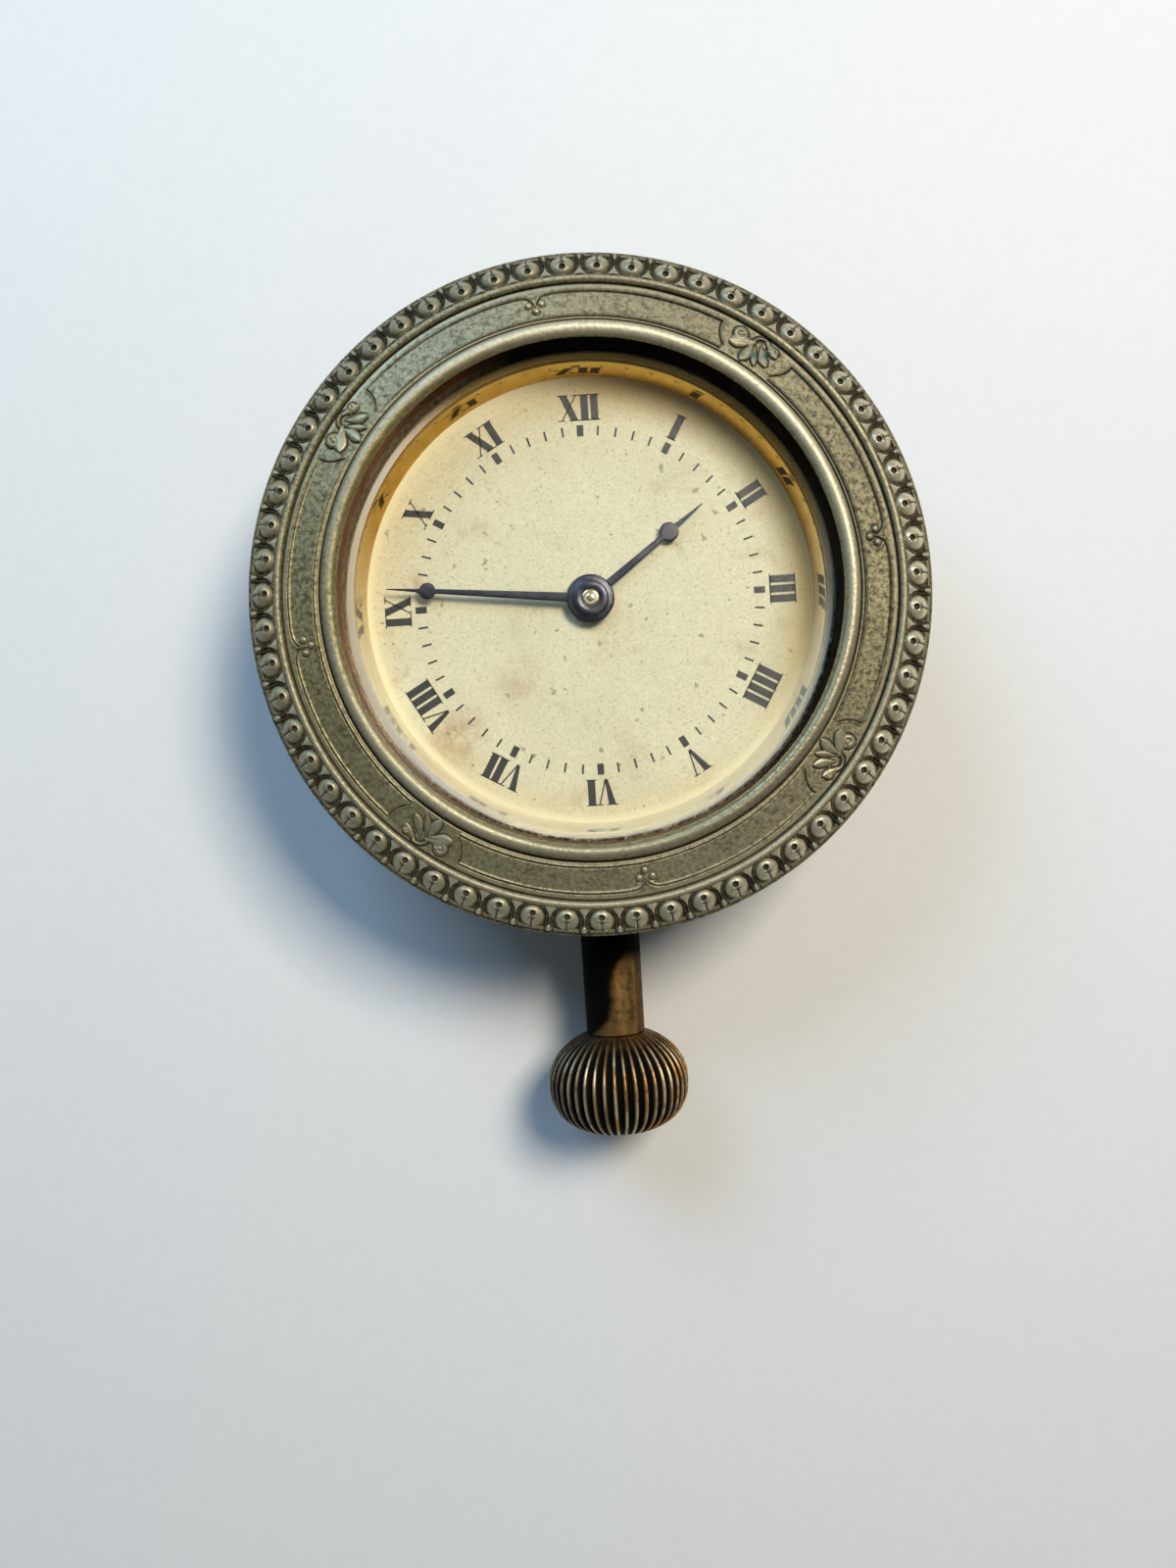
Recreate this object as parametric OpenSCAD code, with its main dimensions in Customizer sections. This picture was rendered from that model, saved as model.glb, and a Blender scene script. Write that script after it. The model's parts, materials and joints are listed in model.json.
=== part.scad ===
// Eight-day car dashboard clock, as an assembly of separate named parts, in millimetres.
// The dial faces +Z, twelve o'clock is +Y and the winding knob points along -Y.
// The outer face of the back cover lies on z = 0 and the dial's axis is the Z axis.
// The bezel's cast ornament is cut to the egg row here, and the hands stand at 1:46.

/* [Case] */
// Diameter of the pillar plate and the dial, the size of the movement
movement_d = 63.6; // [62:0.2:65]
// Gap between the movement and the bore of the case
movement_gap = 0.3; // [0.2:0.05:0.5]
// Wall of the case barrel
case_wall = 1.6; // [1.4:0.1:2.2]
// Thickness of the back cover
back_t = 1; // [0.8:0.1:1.4]
// Height of the back cover's skirt up the barrel
back_skirt = 5; // [4:0.5:6]
// Wall of the back cover's skirt
skirt_wall = 0.9; // [0.7:0.1:1.2]
// Width of the flange that the bezel seats on
flange_w = 7; // [5:0.5:8]
// Thickness of that flange
flange_t = 1.2; // [1:0.1:1.6]
// Width of the ledge inside the case that carries the pillar plate
ledge_w = 2.8; // [2.4:0.1:3]
// Thickness of that ledge
ledge_t = 1.4; // [1:0.1:1.8]
// Number of screws that hold the movement down on the ledge
case_screw_count = 3; // [2:1:4]

/* [Bezel] */
// Radius of the wall inside the lip
lip_wall_r = 32.4; // [32.2:0.1:32.8]
// Step from the bore of the case out to the wall inside the lip
lip_step = 0.3; // [0.2:0.05:0.5]
// Radius of the half-round lip
lip_r = 1.05; // [0.9:0.05:1.2]
// Width of the ornament band
band_w = 5.3; // [5:0.1:6.4]
// Rise of the ornament band towards the lip
band_rise = 1.1; // [0.6:0.1:1.4]
// Radius of the round moulding between band and eggs
ring_r = 0.5; // [0.4:0.05:0.6]
// Width of the egg row
egg_row_w = 3.25; // [2.85:0.05:3.4]
// Drop of the egg row's bed towards the rim
egg_row_drop = 1.7; // [1.2:0.1:2]
// Number of eggs round the rim
egg_count = 59; // [54:1:62]
// Radius of one egg
egg_r = 1.55; // [1.4:0.05:1.65]
// Width of the plain rim outside the eggs
rim_w = 0.45; // [0.3:0.05:0.6]
// Thickness of the bezel's shell
shell_t = 1.5; // [1.3:0.1:2]
// Height of the outline edge of the bezel above the seat on the panel
bezel_h = 8.2; // [7.6:0.1:8.8]

/* [Glass and dial] */
// Thickness of the glass at its flat top
glass_t = 2.1; // [1.8:0.1:2.4]
// Thickness of the glass at its rebated edge
glass_edge_t = 1.2; // [1:0.1:1.4]
// Width of the glass bevel
bevel_w = 1.25; // [1:0.05:1.5]
// Width of the rebate hidden behind the bezel wall
rebate_w = 1; // [0.7:0.1:1.1]
// Height from the dial to the glass
glass_gap = 2.5; // [2.4:0.1:3]
// Radius of the dial that shows inside the reflector ring
dial_open_r = 30.4; // [30:0.1:30.8]
// Width of the dial's edge under the reflector ring
dial_edge_w = 1.4; // [1.2:0.1:1.8]
// Flare of the reflector ring, from dial to glass
reflector_flare = 0.7; // [0.4:0.1:0.8]
// Thickness of the dial
dial_t = 0.8; // [0.6:0.1:1]

/* [Hands] */
// Hour that the hands show
time_hour = 1; // [0:1:11]
// Minute that the hands show
time_minute = 46; // [0:1:59]
// Length of the minute hand from the centre
minute_len = 27.2; // [25:0.1:28]
// Distance of the minute hand's disc from the centre
minute_disc_at = 21.7; // [20:0.1:22.5]
// Radius of the minute hand's disc
minute_disc_r = 1.15; // [0.9:0.05:1.3]
// Length of the hour hand from the centre
hour_len = 19.6; // [18:0.1:20.5]
// Distance of the hour hand's disc from the centre
hour_disc_at = 13.8; // [13:0.1:15]
// Radius of the hour hand's disc
hour_disc_r = 1.3; // [1:0.05:1.5]
// Thickness of a hand
hand_t = 0.25; // [0.2:0.05:0.35]
// Radius of the stepped boss on the minute hand
hand_boss_r = 3.2; // [2.6:0.1:3.4]

/* [Movement heights] */
// Room between the back cover and the regulator
cover_room = 0.5; // [0.4:0.1:0.8]
// Thickness of the regulator
regulator_t = 0.5; // [0.4:0.1:0.6]
// Thickness of the balance cock
cock_t = 1.4; // [1.2:0.1:1.6]
// Height of the balance cock's foot over the plate
cock_foot_h = 0.8; // [0.7:0.1:1]
// Thickness of the back plate
back_plate_t = 1.8; // [1.6:0.1:2.2]
// Distance between the plates
plate_gap = 9.8; // [9.6:0.1:10.4]
// Thickness of the pillar plate
pillar_plate_t = 2; // [1.8:0.1:2.4]
// Room for the motion work between pillar plate and dial
motion_room = 3.4; // [3.3:0.1:3.8]
// Radius of the pillars
pillar_r = 1.8; // [1.5:0.1:2]

/* [Winding] */
// Diameter of the winding knob over its ribs
knob_d = 20; // [18:0.5:20.5]
// Length of the winding knob
knob_len = 13.4; // [12:0.2:16.5]
// Number of ribs on the knob
rib_count = 42; // [36:1:46]
// Depth of the grooves between the ribs
rib_depth = 0.6; // [0.4:0.1:0.8]
// Distance from the dial's axis to the near end of the knob
knob_from = 60.4; // [57:0.2:62]
// Gap between the end of the tube and the knob
knob_gap = 0.2; // [0.15:0.05:0.4]
// Radius of the stem tube where it leaves the case
tube_r = 4.3; // [4:0.1:4.5]
// Taper of the stem tube's radius along its length
tube_taper = 0.15; // [0:0.05:0.3]
// Radius of the winding stem
stem_r = 2; // [1.8:0.1:2.2]
// Travel of the knob, from winding to setting
pull_travel = 2; // [1.6:0.1:2.2]
// Height of the stem's axis above the back cover
stem_z = 11.4; // [11.3:0.1:11.6]
// Height of the winding pinion's pitch line over the face of the crown wheel
contrate_depth = 0.45; // [0.42:0.01:0.5]

/* [Fits] */
// Radial running fit of pivots, pipes and stem
run_fit = 0.05; // [0.03:0.01:0.07]
// Play between square and squared bore
square_fit = 0.06; // [0.04:0.01:0.1]
// Play of a press or push fit
push_fit = 0.01; // [0.01:0.01:0.02]
// Backlash, taken off the thickness of every tooth
backlash = 0.1; // [0.08:0.01:0.13]
// End shake of an arbor between its plates
end_shake = 0.12; // [0.1:0.02:0.2]

/* [Hidden] */
$fn = 96;

// Layout unit of the movement, a tenth of a millimetre at the usual size
unit = movement_d / 636;

// Tooth counts and modules of the going train, motion work and winding work
barrel_z = 72;
barrel_m = 3 * unit;
inter_pinion_z = 10;
inter_z = 60;
inter_m = 2.5 * unit;
centre_pinion_z = 10;
centre_z = 64;
centre_m = 2.3 * unit;
third_pinion_z = 8;
third_z = 60;
third_m = 2 * unit;
fourth_pinion_z = 8;
fourth_z = 64;
fourth_m = 1.8 * unit;
escape_pinion_z = 8;
escape_z = 15;
cannon_z = 12;
minute_z = 36;
motion_m = 3 * unit;
minute_pinion_z = 10;
hour_z = 40;
hour_m = motion_m * (cannon_z + minute_z) / (minute_pinion_z + hour_z);
setting_pinion_z = 20;
setting_z = 18;
ratchet_z = 40;
crown_z = 27;
winding_m = 5 * unit;
contrate_z = 22;
winding_z = 14;
pressure_angle = 25;
addendum = 0.65;
dedendum = 0.95;

// Heights, from the back cover up to the lip
regulator_z = back_t + cover_room;
cock_z = regulator_z + regulator_t + 0.1;
cock_top_z = cock_z + cock_t;
back_plate_z = cock_top_z + cock_foot_h;
inner_back_z = back_plate_z + back_plate_t;
inner_front_z = inner_back_z + plate_gap;
pillar_top_z = inner_front_z + pillar_plate_t;
dial_back_z = pillar_top_z + motion_room;
dial_z = dial_back_z + dial_t;
glass_z = dial_z + glass_gap;
glass_shoulder_z = glass_z + glass_edge_t;
glass_top_z = glass_z + glass_t;
seat_z = dial_back_z;
outline_z = seat_z + bezel_h;
band_low_z = outline_z + 0.1;
band_high_z = band_low_z + band_rise;
lip_centre_z = band_high_z - 0.1;

// Radii of the case and bezel
plate_r = movement_d / 2;
dial_r = max(plate_r, dial_open_r + dial_edge_w);
case_bore_r = max(dial_r + movement_gap, lip_wall_r - lip_step);
case_r = case_bore_r + case_wall;
flange_r = case_r + flange_w;
ledge_in_r = plate_r + movement_gap - ledge_w;
lip_base_r = case_bore_r + lip_step;
back_plate_r = ledge_in_r - 0.4;
lip_mid_r = lip_base_r + lip_r;
band_in_r = lip_base_r + 2 * lip_r;
band_out_r = band_in_r + band_w;
ring_mid_r = band_out_r + ring_r;
egg_in_r = band_out_r + 2 * ring_r;
egg_out_r = egg_in_r + egg_row_w;
bezel_r = egg_out_r + rim_w;
egg_bed_z = band_low_z - 0.2;
egg_mid_r = egg_in_r + egg_row_w / 2;
egg_z = egg_bed_z - egg_row_drop / 2 - 0.1;
rim_z = egg_bed_z - egg_row_drop;
glass_r = lip_base_r + rebate_w;
case_front_z = glass_z - 0.2;
reflector_out_r = case_bore_r - 0.1;
reflector_top_r = dial_open_r + reflector_flare;

// Heights of the wheels
stem_square = stem_r * 1.2;
winding_wheel_z = inner_back_z + 0.45;
contrate_pitch_z = stem_z - winding_m * winding_z / 2;
contrate_root_z = contrate_pitch_z - contrate_depth;
contrate_tip_z = contrate_pitch_z + 0.9 * winding_m;
winding_wheel_t = contrate_root_z - winding_wheel_z;
drum_z = contrate_root_z + 0.6;
drum_top_z = drum_z + 5.2;
barrel_teeth_t = 1.2;
inter_wheel_z = drum_top_z + 0.55;
centre_wheel_z = inner_back_z + 2.7;
third_wheel_z = inner_back_z + 5;
fourth_wheel_z = inner_back_z + 7;
wheel_t = 0.7;
escape_wheel_z = inner_back_z + 3.7;
escape_t = 0.6;
balance_z = back_plate_z + 0.25;
balance_t = 1.2;
hairspring_z = cock_top_z + 0.45;
roller_z = escape_wheel_z - 1.5;
roller_t = 0.7;
motion_z = pillar_top_z + 0.4;
hour_wheel_z = motion_z + 1.7;
hour_hand_z = dial_z + 0.75;
minute_hand_z = hour_hand_z + hand_t + 0.4;
boss_z = minute_hand_z + hand_t;
boss_cone_h = 0.25;
hub_top_z = boss_z + boss_cone_h + 0.25;
setting_wheel_z = stem_z + stem_square * 0.71 + 0.25;
lever_t = 0.7;
lever_z = inner_front_z - lever_t - 0.25;

// Places of the arbors, each from the gears that mesh there
function polar(r, a) = [r * cos(a), r * sin(a)];
function meet(p, rp, q, rq, s) = let(
    d = norm(q - p),
    a = (rp * rp - rq * rq + d * d) / (2 * d),
    h = sqrt(rp * rp - a * a),
    u = (q - p) / d
  ) p + a * u + s * h * [-u[1], u[0]];
function direction(p, q) = atan2(q[1] - p[1], q[0] - p[0]);

centre_at = [0, 0];
barrel_pitch_r = barrel_z * barrel_m / 2;
barrel_out_r = barrel_pitch_r + addendum * barrel_m;
drum_r = barrel_pitch_r - dedendum * barrel_m - 0.25;
barrel_at = polar(180 * unit, 215);
inter_at = meet(
  centre_at, inter_m * (inter_z + centre_pinion_z) / 2,
  barrel_at, barrel_m * (barrel_z + inter_pinion_z) / 2, -1
);
third_at = polar(centre_m * (centre_z + third_pinion_z) / 2, 70);
fourth_at = third_at + polar(third_m * (third_z + fourth_pinion_z) / 2, 10);
escape_at = fourth_at + polar(fourth_m * (fourth_z + escape_pinion_z) / 2, -45);
escape_r = 34 * unit;
pallet_hub_r = 1.1;
pallet_at = escape_at + polar(escape_r + pallet_hub_r + 0.15, -75);
lever_len = 66 * unit;
roller_pin_r = 16 * unit;
balance_at = pallet_at + polar(lever_len + roller_pin_r, -100);
balance_r = 94 * unit;
ratchet_pitch_r = ratchet_z * winding_m / 2;
crown_pitch_r = crown_z * winding_m / 2;
winding_reach = ratchet_pitch_r + crown_pitch_r;
crown_at = [0, barrel_at[1] - sqrt(pow(winding_reach, 2) - pow(barrel_at[0], 2))];
contrate_r = contrate_z * winding_m / 2;
contrate_w = 16 * unit;
winding_pinion_y = crown_at[1] - contrate_r;
winding_pinion_len = 3.6;
setting_m = 3 * unit;
setting_r = setting_m * setting_z / 2;
clutch_len = 2.4;
clutch_y = winding_pinion_y + winding_pinion_len / 2 + 0.3 + clutch_len / 2;
clutch_travel = pull_travel * 0.8;
setting_at = [0, clutch_y + clutch_len / 2 + clutch_travel + 0.25 + setting_r + setting_m * addendum];
minute_at = meet(
  centre_at, motion_m * (cannon_z + minute_z) / 2,
  setting_at, motion_m * (minute_z + setting_pinion_z) / 2, 1
);
groove_y = winding_pinion_y - winding_pinion_len / 2 - 1.4;
setting_lever_at = [64 * unit, groove_y + 1.5];
click_angle = 130;
click_at = barrel_at + polar(ratchet_pitch_r + 32 * unit, click_angle);
pillar_ring_r = back_plate_r - pillar_r - 0.5;
pillar_angles = [28, 95, 160, 254, 312];

// Sizes of bearings and arbors
pivot_r = 0.4;
arbor_r = 5.5 * unit;
jewel_r = 1.2;
jewel_t = 0.8;
centre_arbor_r = 1;
centre_post_r = 0.75;
cannon_pipe_r = 1.2;
hour_pipe_r = 1.65;
knob_r = knob_d / 2;
tube_end = knob_from - knob_gap;
tube_from = case_bore_r - 0.05;

// Sizes of screws, posts and small fittings
hairspring_r = 46 * unit;
case_screw_r = 0.6;
case_screw_ring_r = (ledge_in_r + plate_r) / 2;
dial_foot_angles = [40, 200];
dial_foot_ring_r = plate_r - 3.5;
dial_foot_r = 0.8;
barrel_arbor_r = 1.3;
setting_arbor_r = 0.8;
minute_post_r = 0.6;
pillar_pin_r = 0.9;
lever_post_r = 0.7;
plate_screw_r = 0.7;
crown_screw_r = 0.9;
click_post_r = 0.6;
cock_foot_at = balance_at + polar(136 * unit, 205);
pallet_foot_at = pallet_at + polar(54 * unit, 15);
click_spring_at = click_at + polar(46 * unit, 100);
pallet_bridge_t = 1;
stud_at = balance_at + polar(hairspring_r, 205);
stud_r = 0.45;
hairspring_t = 0.3;
crown_hub_r = 1.3;
clutch_z = 12;
clutch_m = 4.2 * unit;
hub_r = 2.3;
stone_reach = 17.5 * unit;
stone_angle = 58;
staff_r = 0.8;
timing_screw_count = 12;
timing_screw_from = 15;
timing_shank_r = 0.25;

// Phase of the second gear so that its gap faces the first gear's tooth
function mate(theta, phi, z1, z2) = theta + 180 + ((theta - phi) * z1 / 360 - 0.5) * 360 / z2;
barrel_phase = 0;
inter_pinion_phase = mate(direction(barrel_at, inter_at), barrel_phase, barrel_z, inter_pinion_z);
inter_phase = 0;
centre_pinion_phase = mate(direction(inter_at, centre_at), inter_phase, inter_z, centre_pinion_z);
centre_phase = 0;
third_pinion_phase = mate(direction(centre_at, third_at), centre_phase, centre_z, third_pinion_z);
third_phase = 0;
fourth_pinion_phase = mate(direction(third_at, fourth_at), third_phase, third_z, fourth_pinion_z);
fourth_phase = 0;
escape_pinion_phase = mate(direction(fourth_at, escape_at), fourth_phase, fourth_z, escape_pinion_z);
cannon_phase = 0;
minute_phase = mate(direction(centre_at, minute_at), cannon_phase, cannon_z, minute_z);
minute_pinion_phase = 0;
hour_phase = mate(direction(minute_at, centre_at), minute_pinion_phase, minute_pinion_z, hour_z);
setting_phase = mate(direction(minute_at, setting_at), minute_phase, minute_z, setting_pinion_z);
crown_phase = 0;
ratchet_phase = mate(direction(crown_at, barrel_at), crown_phase, crown_z, ratchet_z);
contrate_phase = -90 + 180 / contrate_z;

// Hand angles, measured from +X
minute_angle = 90 - time_minute * 6;
hour_angle = 90 - (time_hour + time_minute / 60) * 30;

// Small builders shared by the parts
function involute(a) = tan(a) * 180 / PI - a;
function tooth_half(z, m, r) = let(
    rp = z * m / 2,
    rb = rp * cos(pressure_angle)
  ) 90 / z - backlash / (2 * rp) * 180 / PI
  + involute(pressure_angle) - involute(acos(rb / max(r, rb)));
function tooth(z, m, n, i) = let(
    rf = z * m / 2 - dedendum * m,
    ra = z * m / 2 + addendum * m
  ) [
    for (k = [0:n]) let(r = rf + (ra - rf) * k / n) polar(r, i * 360 / z - tooth_half(z, m, r)),
    for (k = [n:-1:0]) let(r = rf + (ra - rf) * k / n) polar(r, i * 360 / z + tooth_half(z, m, r))
  ];

module gear2d(z, m, n = 2) {
  polygon([for (i = [0:z - 1]) each tooth(z, m, n, i)]);
}

module at(p, z = 0) {
  translate([p[0], p[1], z]) children();
}

// A flat bar with round ends of two radii, as one closed outline
module bar2d(p, q, rp, rq) {
  t = direction(p, q);
  b = acos((rp - rq) / norm(q - p));
  n = 12;
  polygon([
    for (i = [0:n]) p + polar(rp, t + b + i * (360 - 2 * b) / n),
    for (i = [0:n]) q + polar(rq, t - b + i * 2 * b / n)
  ]);
}

// A wheel with crossings: spur teeth, a rim, spokes and a bored hub
module spoked_wheel(z, m, t, bore_r, hub_r, spokes, phase) {
  root_r = z * m / 2 - dedendum * m;
  rim_r = root_r - max(0.5, m * 2.4);
  span = 360 / spokes;
  spoke_angle = 16;
  rotate(phase) difference() {
    linear_extrude(t) gear2d(z, m);
    translate([0, 0, -1]) cylinder(r = bore_r, h = t + 2);
    for (i = [0:spokes - 1])
      rotate(i * span + spoke_angle / 2)
        translate([0, 0, -1])
          rotate_extrude(angle = span - spoke_angle)
            translate([hub_r, 0]) square([rim_r - hub_r, t + 2]);
  }
}

// Arbor between the plates with a pivot at each end, and one cut pinion
module pinion_arbor(p, z, m, phase, z0, len) {
  low = inner_back_z + end_shake;
  high = inner_front_z - end_shake;
  at(p) {
    translate([0, 0, low]) cylinder(r = arbor_r, h = high - low);
    translate([0, 0, low - back_plate_t * 0.7]) cylinder(r = pivot_r, h = back_plate_t * 0.8);
    translate([0, 0, high - 0.1]) cylinder(r = pivot_r, h = pillar_plate_t * 0.7);
    translate([0, 0, z0]) rotate(phase) linear_extrude(len) gear2d(z, m, 3);
  }
}

module slotted_screw(head_r, head_t, shank_r, shank_l) {
  difference() {
    union() {
      cylinder(r = head_r, h = head_t);
      translate([0, 0, -shank_l]) cylinder(r = shank_r, h = shank_l + 0.1);
    }
    translate([-head_r - 1, -0.15, head_t * 0.5]) cube([2 * head_r + 2, 0.3, head_t]);
  }
}

// Lays a part drawn along +Z on the stem's axis, with its +Z pointing at the knob
module on_stem(a = 0) {
  translate([0, -a, stem_z]) rotate([90, 0, 0]) children();
}

// Case barrel with its bezel flange and the ledge that carries the movement
module case_body() {
  color([0.36, 0.33, 0.27]) difference() {
    rotate_extrude() polygon([
      [case_bore_r, back_t + push_fit],
      [case_r, back_t + push_fit],
      [case_r, seat_z],
      [flange_r, seat_z],
      [flange_r, seat_z + flange_t],
      [case_r, seat_z + flange_t],
      [case_r, case_front_z],
      [case_bore_r, case_front_z],
      [case_bore_r, inner_front_z],
      [ledge_in_r, inner_front_z],
      [ledge_in_r, inner_front_z - ledge_t],
      [case_bore_r, inner_front_z - ledge_t]
    ]);
    on_stem(case_bore_r - ledge_w - 1) cylinder(r = tube_r, h = case_wall + ledge_w + 3);
    translate([-4.5, -case_bore_r - 0.2, inner_front_z - ledge_t - 1]) cube([9, ledge_w + 1, ledge_t + 2]);
    for (i = [0:case_screw_count - 1])
      at(polar(case_screw_ring_r, 60 + i * 360 / case_screw_count), inner_front_z - ledge_t - 1)
        cylinder(r = case_screw_r + push_fit, h = ledge_t + 2);
  }
}

// Shallow cap that pushes over the rear of the barrel
module back_cover() {
  color([0.4, 0.36, 0.28]) rotate_extrude() polygon([
    [0, 0],
    [case_r - 0.6, 0],
    [case_r + skirt_wall, 0.6 + skirt_wall],
    [case_r + skirt_wall, back_skirt],
    [case_r + push_fit, back_skirt],
    [case_r + push_fit, back_t],
    [0, back_t]
  ]);
}

// Tube that carries the winding stem out through the wall
module pendant_tube() {
  color([0.3, 0.24, 0.18]) on_stem(tube_from) difference() {
    cylinder(r1 = tube_r - push_fit, r2 = tube_r - tube_taper, h = tube_end - tube_from);
    translate([0, 0, -1]) cylinder(r = stem_r + run_fit, h = tube_end - tube_from + 2);
  }
}

// Cast bezel: lip, ornament band, round moulding and the row of eggs
module bezel() {
  bore = case_r + run_fit;
  skirt = bore + shell_t;
  outer_in = bezel_r - shell_t;
  ceiling = outline_z - egg_row_drop - shell_t;
  color([0.42, 0.4, 0.33]) union() {
    rotate_extrude() union() {
      polygon([
        [bore, seat_z + flange_t],
        [skirt, seat_z + flange_t],
        [skirt, ceiling],
        [outer_in, ceiling],
        [outer_in, seat_z],
        [bezel_r, seat_z],
        [bezel_r, rim_z],
        [egg_out_r, rim_z],
        [egg_in_r, egg_bed_z],
        [band_out_r, band_low_z],
        [band_in_r - 0.05, band_high_z],
        [band_in_r - 0.05, lip_centre_z],
        [lip_wall_r, lip_centre_z],
        [lip_wall_r, glass_shoulder_z + push_fit],
        [glass_r + run_fit, glass_shoulder_z + push_fit],
        [glass_r + run_fit, case_front_z + 0.1],
        [bore, case_front_z + 0.1]
      ]);
      translate([lip_mid_r, lip_centre_z]) circle(r = lip_r);
      translate([ring_mid_r, band_low_z - 0.05]) circle(r = ring_r);
    }
    for (i = [0:egg_count - 1])
      rotate(i * 360 / egg_count) translate([egg_mid_r, 0, egg_z]) sphere(r = egg_r);
  }
}

// Glass with a flat top, a bevel and a rebated edge under the bezel wall
module glass() {
  color([0.8, 0.9, 0.92, 0.35]) rotate_extrude() polygon([
    [0, glass_z],
    [glass_r, glass_z],
    [glass_r, glass_shoulder_z],
    [lip_wall_r - 0.1, glass_shoulder_z],
    [lip_wall_r - 0.1 - bevel_w, glass_top_z],
    [0, glass_top_z]
  ]);
}

// Gilt ring between dial and glass, which also holds the glass up
module reflector_ring() {
  color([0.85, 0.68, 0.3]) rotate_extrude() polygon([
    [dial_open_r, dial_z + push_fit],
    [reflector_out_r, dial_z + push_fit],
    [reflector_out_r, glass_z - push_fit],
    [reflector_top_r, glass_z - push_fit]
  ]);
}

// Dial plate with its two feet
module dial() {
  color([0.9, 0.86, 0.7]) union() {
    difference() {
      translate([0, 0, dial_back_z]) cylinder(r = dial_r, h = dial_t);
      translate([0, 0, dial_back_z - 1]) cylinder(r = hour_pipe_r + 0.5, h = dial_t + 2);
    }
    for (a = dial_foot_angles)
      at(polar(dial_foot_ring_r, a), pillar_top_z - pillar_plate_t * 0.7)
        cylinder(r = dial_foot_r, h = motion_room + pillar_plate_t * 0.7 + 0.1);
  }
}

// Bearing holes of the arbors, for both plates
module bearings(h, front) {
  for (p = [third_at, fourth_at, escape_at])
    at(p, -1) cylinder(r = jewel_r + push_fit, h = h + 2);
  for (p = [inter_at])
    at(p, -1) cylinder(r = pivot_r + run_fit, h = h + 2);
  at(barrel_at, -1) cylinder(r = barrel_arbor_r + run_fit, h = h + 2);
  at(centre_at, -1) cylinder(r = (front ? centre_arbor_r : pivot_r) + run_fit, h = h + 2);
}

// Pillar plate, the main plate behind the dial
module pillar_plate() {
  color([0.78, 0.66, 0.36]) difference() {
    translate([0, 0, inner_front_z + push_fit]) cylinder(r = plate_r, h = pillar_plate_t - push_fit);
    translate([0, 0, inner_front_z]) bearings(pillar_plate_t, true);
    for (p = [pallet_at, balance_at])
      at(p, inner_front_z - 1) cylinder(r = jewel_r + push_fit, h = pillar_plate_t + 2);
    at(setting_at, inner_front_z - 1) cylinder(r = setting_arbor_r + run_fit, h = pillar_plate_t + 2);
    at(minute_at, inner_front_z - 1) cylinder(r = minute_post_r + push_fit, h = pillar_plate_t + 2);
    for (a = dial_foot_angles)
      at(polar(dial_foot_ring_r, a), inner_front_z - 1)
        cylinder(r = dial_foot_r + push_fit, h = pillar_plate_t + 2);
    for (i = [0:case_screw_count - 1])
      at(polar(case_screw_ring_r, 60 + i * 360 / case_screw_count), inner_front_z - 1)
        cylinder(r = case_screw_r + push_fit, h = pillar_plate_t + 2);
    for (a = pillar_angles)
      at(polar(pillar_ring_r, a), inner_front_z - 1)
        cylinder(r = pillar_pin_r + push_fit, h = pillar_plate_t + 2);
    at(setting_lever_at, inner_front_z - 1) cylinder(r = lever_post_r + push_fit, h = pillar_plate_t + 2);
  }
}

// Five turned pillars, riveted in the pillar plate and tapped for the screws
module pillars() {
  color([0.8, 0.68, 0.38])
    for (a = pillar_angles)
      at(polar(pillar_ring_r, a)) difference() {
        union() {
          translate([0, 0, inner_back_z]) cylinder(r = pillar_r, h = plate_gap);
          translate([0, 0, inner_front_z - 0.1]) cylinder(r = pillar_pin_r, h = pillar_plate_t + 0.1);
        }
        translate([0, 0, inner_back_z - 1]) cylinder(r = plate_screw_r + push_fit, h = 4);
      }
}

// Three-quarter back plate, cut away round the balance
module back_plate() {
  color([0.74, 0.7, 0.62]) difference() {
    translate([0, 0, back_plate_z]) cylinder(r = back_plate_r, h = back_plate_t);
    translate([0, 0, back_plate_z]) bearings(back_plate_t, false);
    at(balance_at, back_plate_z - 1) cylinder(r = balance_r + 0.9, h = back_plate_t + 2);
    for (a = pillar_angles)
      at(polar(pillar_ring_r, a), back_plate_z - 1)
        cylinder(r = plate_screw_r + push_fit, h = back_plate_t + 2);
    at(crown_at, back_plate_z - 1) cylinder(r = crown_screw_r + push_fit, h = back_plate_t + 2);
    at(click_at, back_plate_z - 1) cylinder(r = click_post_r + push_fit, h = back_plate_t + 2);
    at(cock_foot_at, back_plate_z - 1) cylinder(r = plate_screw_r + push_fit, h = back_plate_t + 2);
    at(pallet_foot_at, back_plate_z - 1) cylinder(r = plate_screw_r + push_fit, h = back_plate_t + 2);
    at(click_spring_at, back_plate_z - 1) cylinder(r = click_post_r + push_fit, h = back_plate_t + 2);
  }
}

// Screws of the back plate, the balance cock and the pallet bridge
module plate_screws() {
  color([0.22, 0.26, 0.4]) {
    for (a = pillar_angles)
      at(polar(pillar_ring_r, a), back_plate_z) mirror([0, 0, 1])
        slotted_screw(1.5, 0.8, plate_screw_r, back_plate_t + 2.4);
    at(cock_foot_at, cock_z) mirror([0, 0, 1])
      slotted_screw(1.4, 0.5, plate_screw_r, cock_t + cock_foot_h + back_plate_t * 0.8);
    at(pallet_foot_at, back_plate_z) mirror([0, 0, 1])
      slotted_screw(1.2, 0.6, plate_screw_r, back_plate_t + pallet_bridge_t * 0.9);
  }
}

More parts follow.
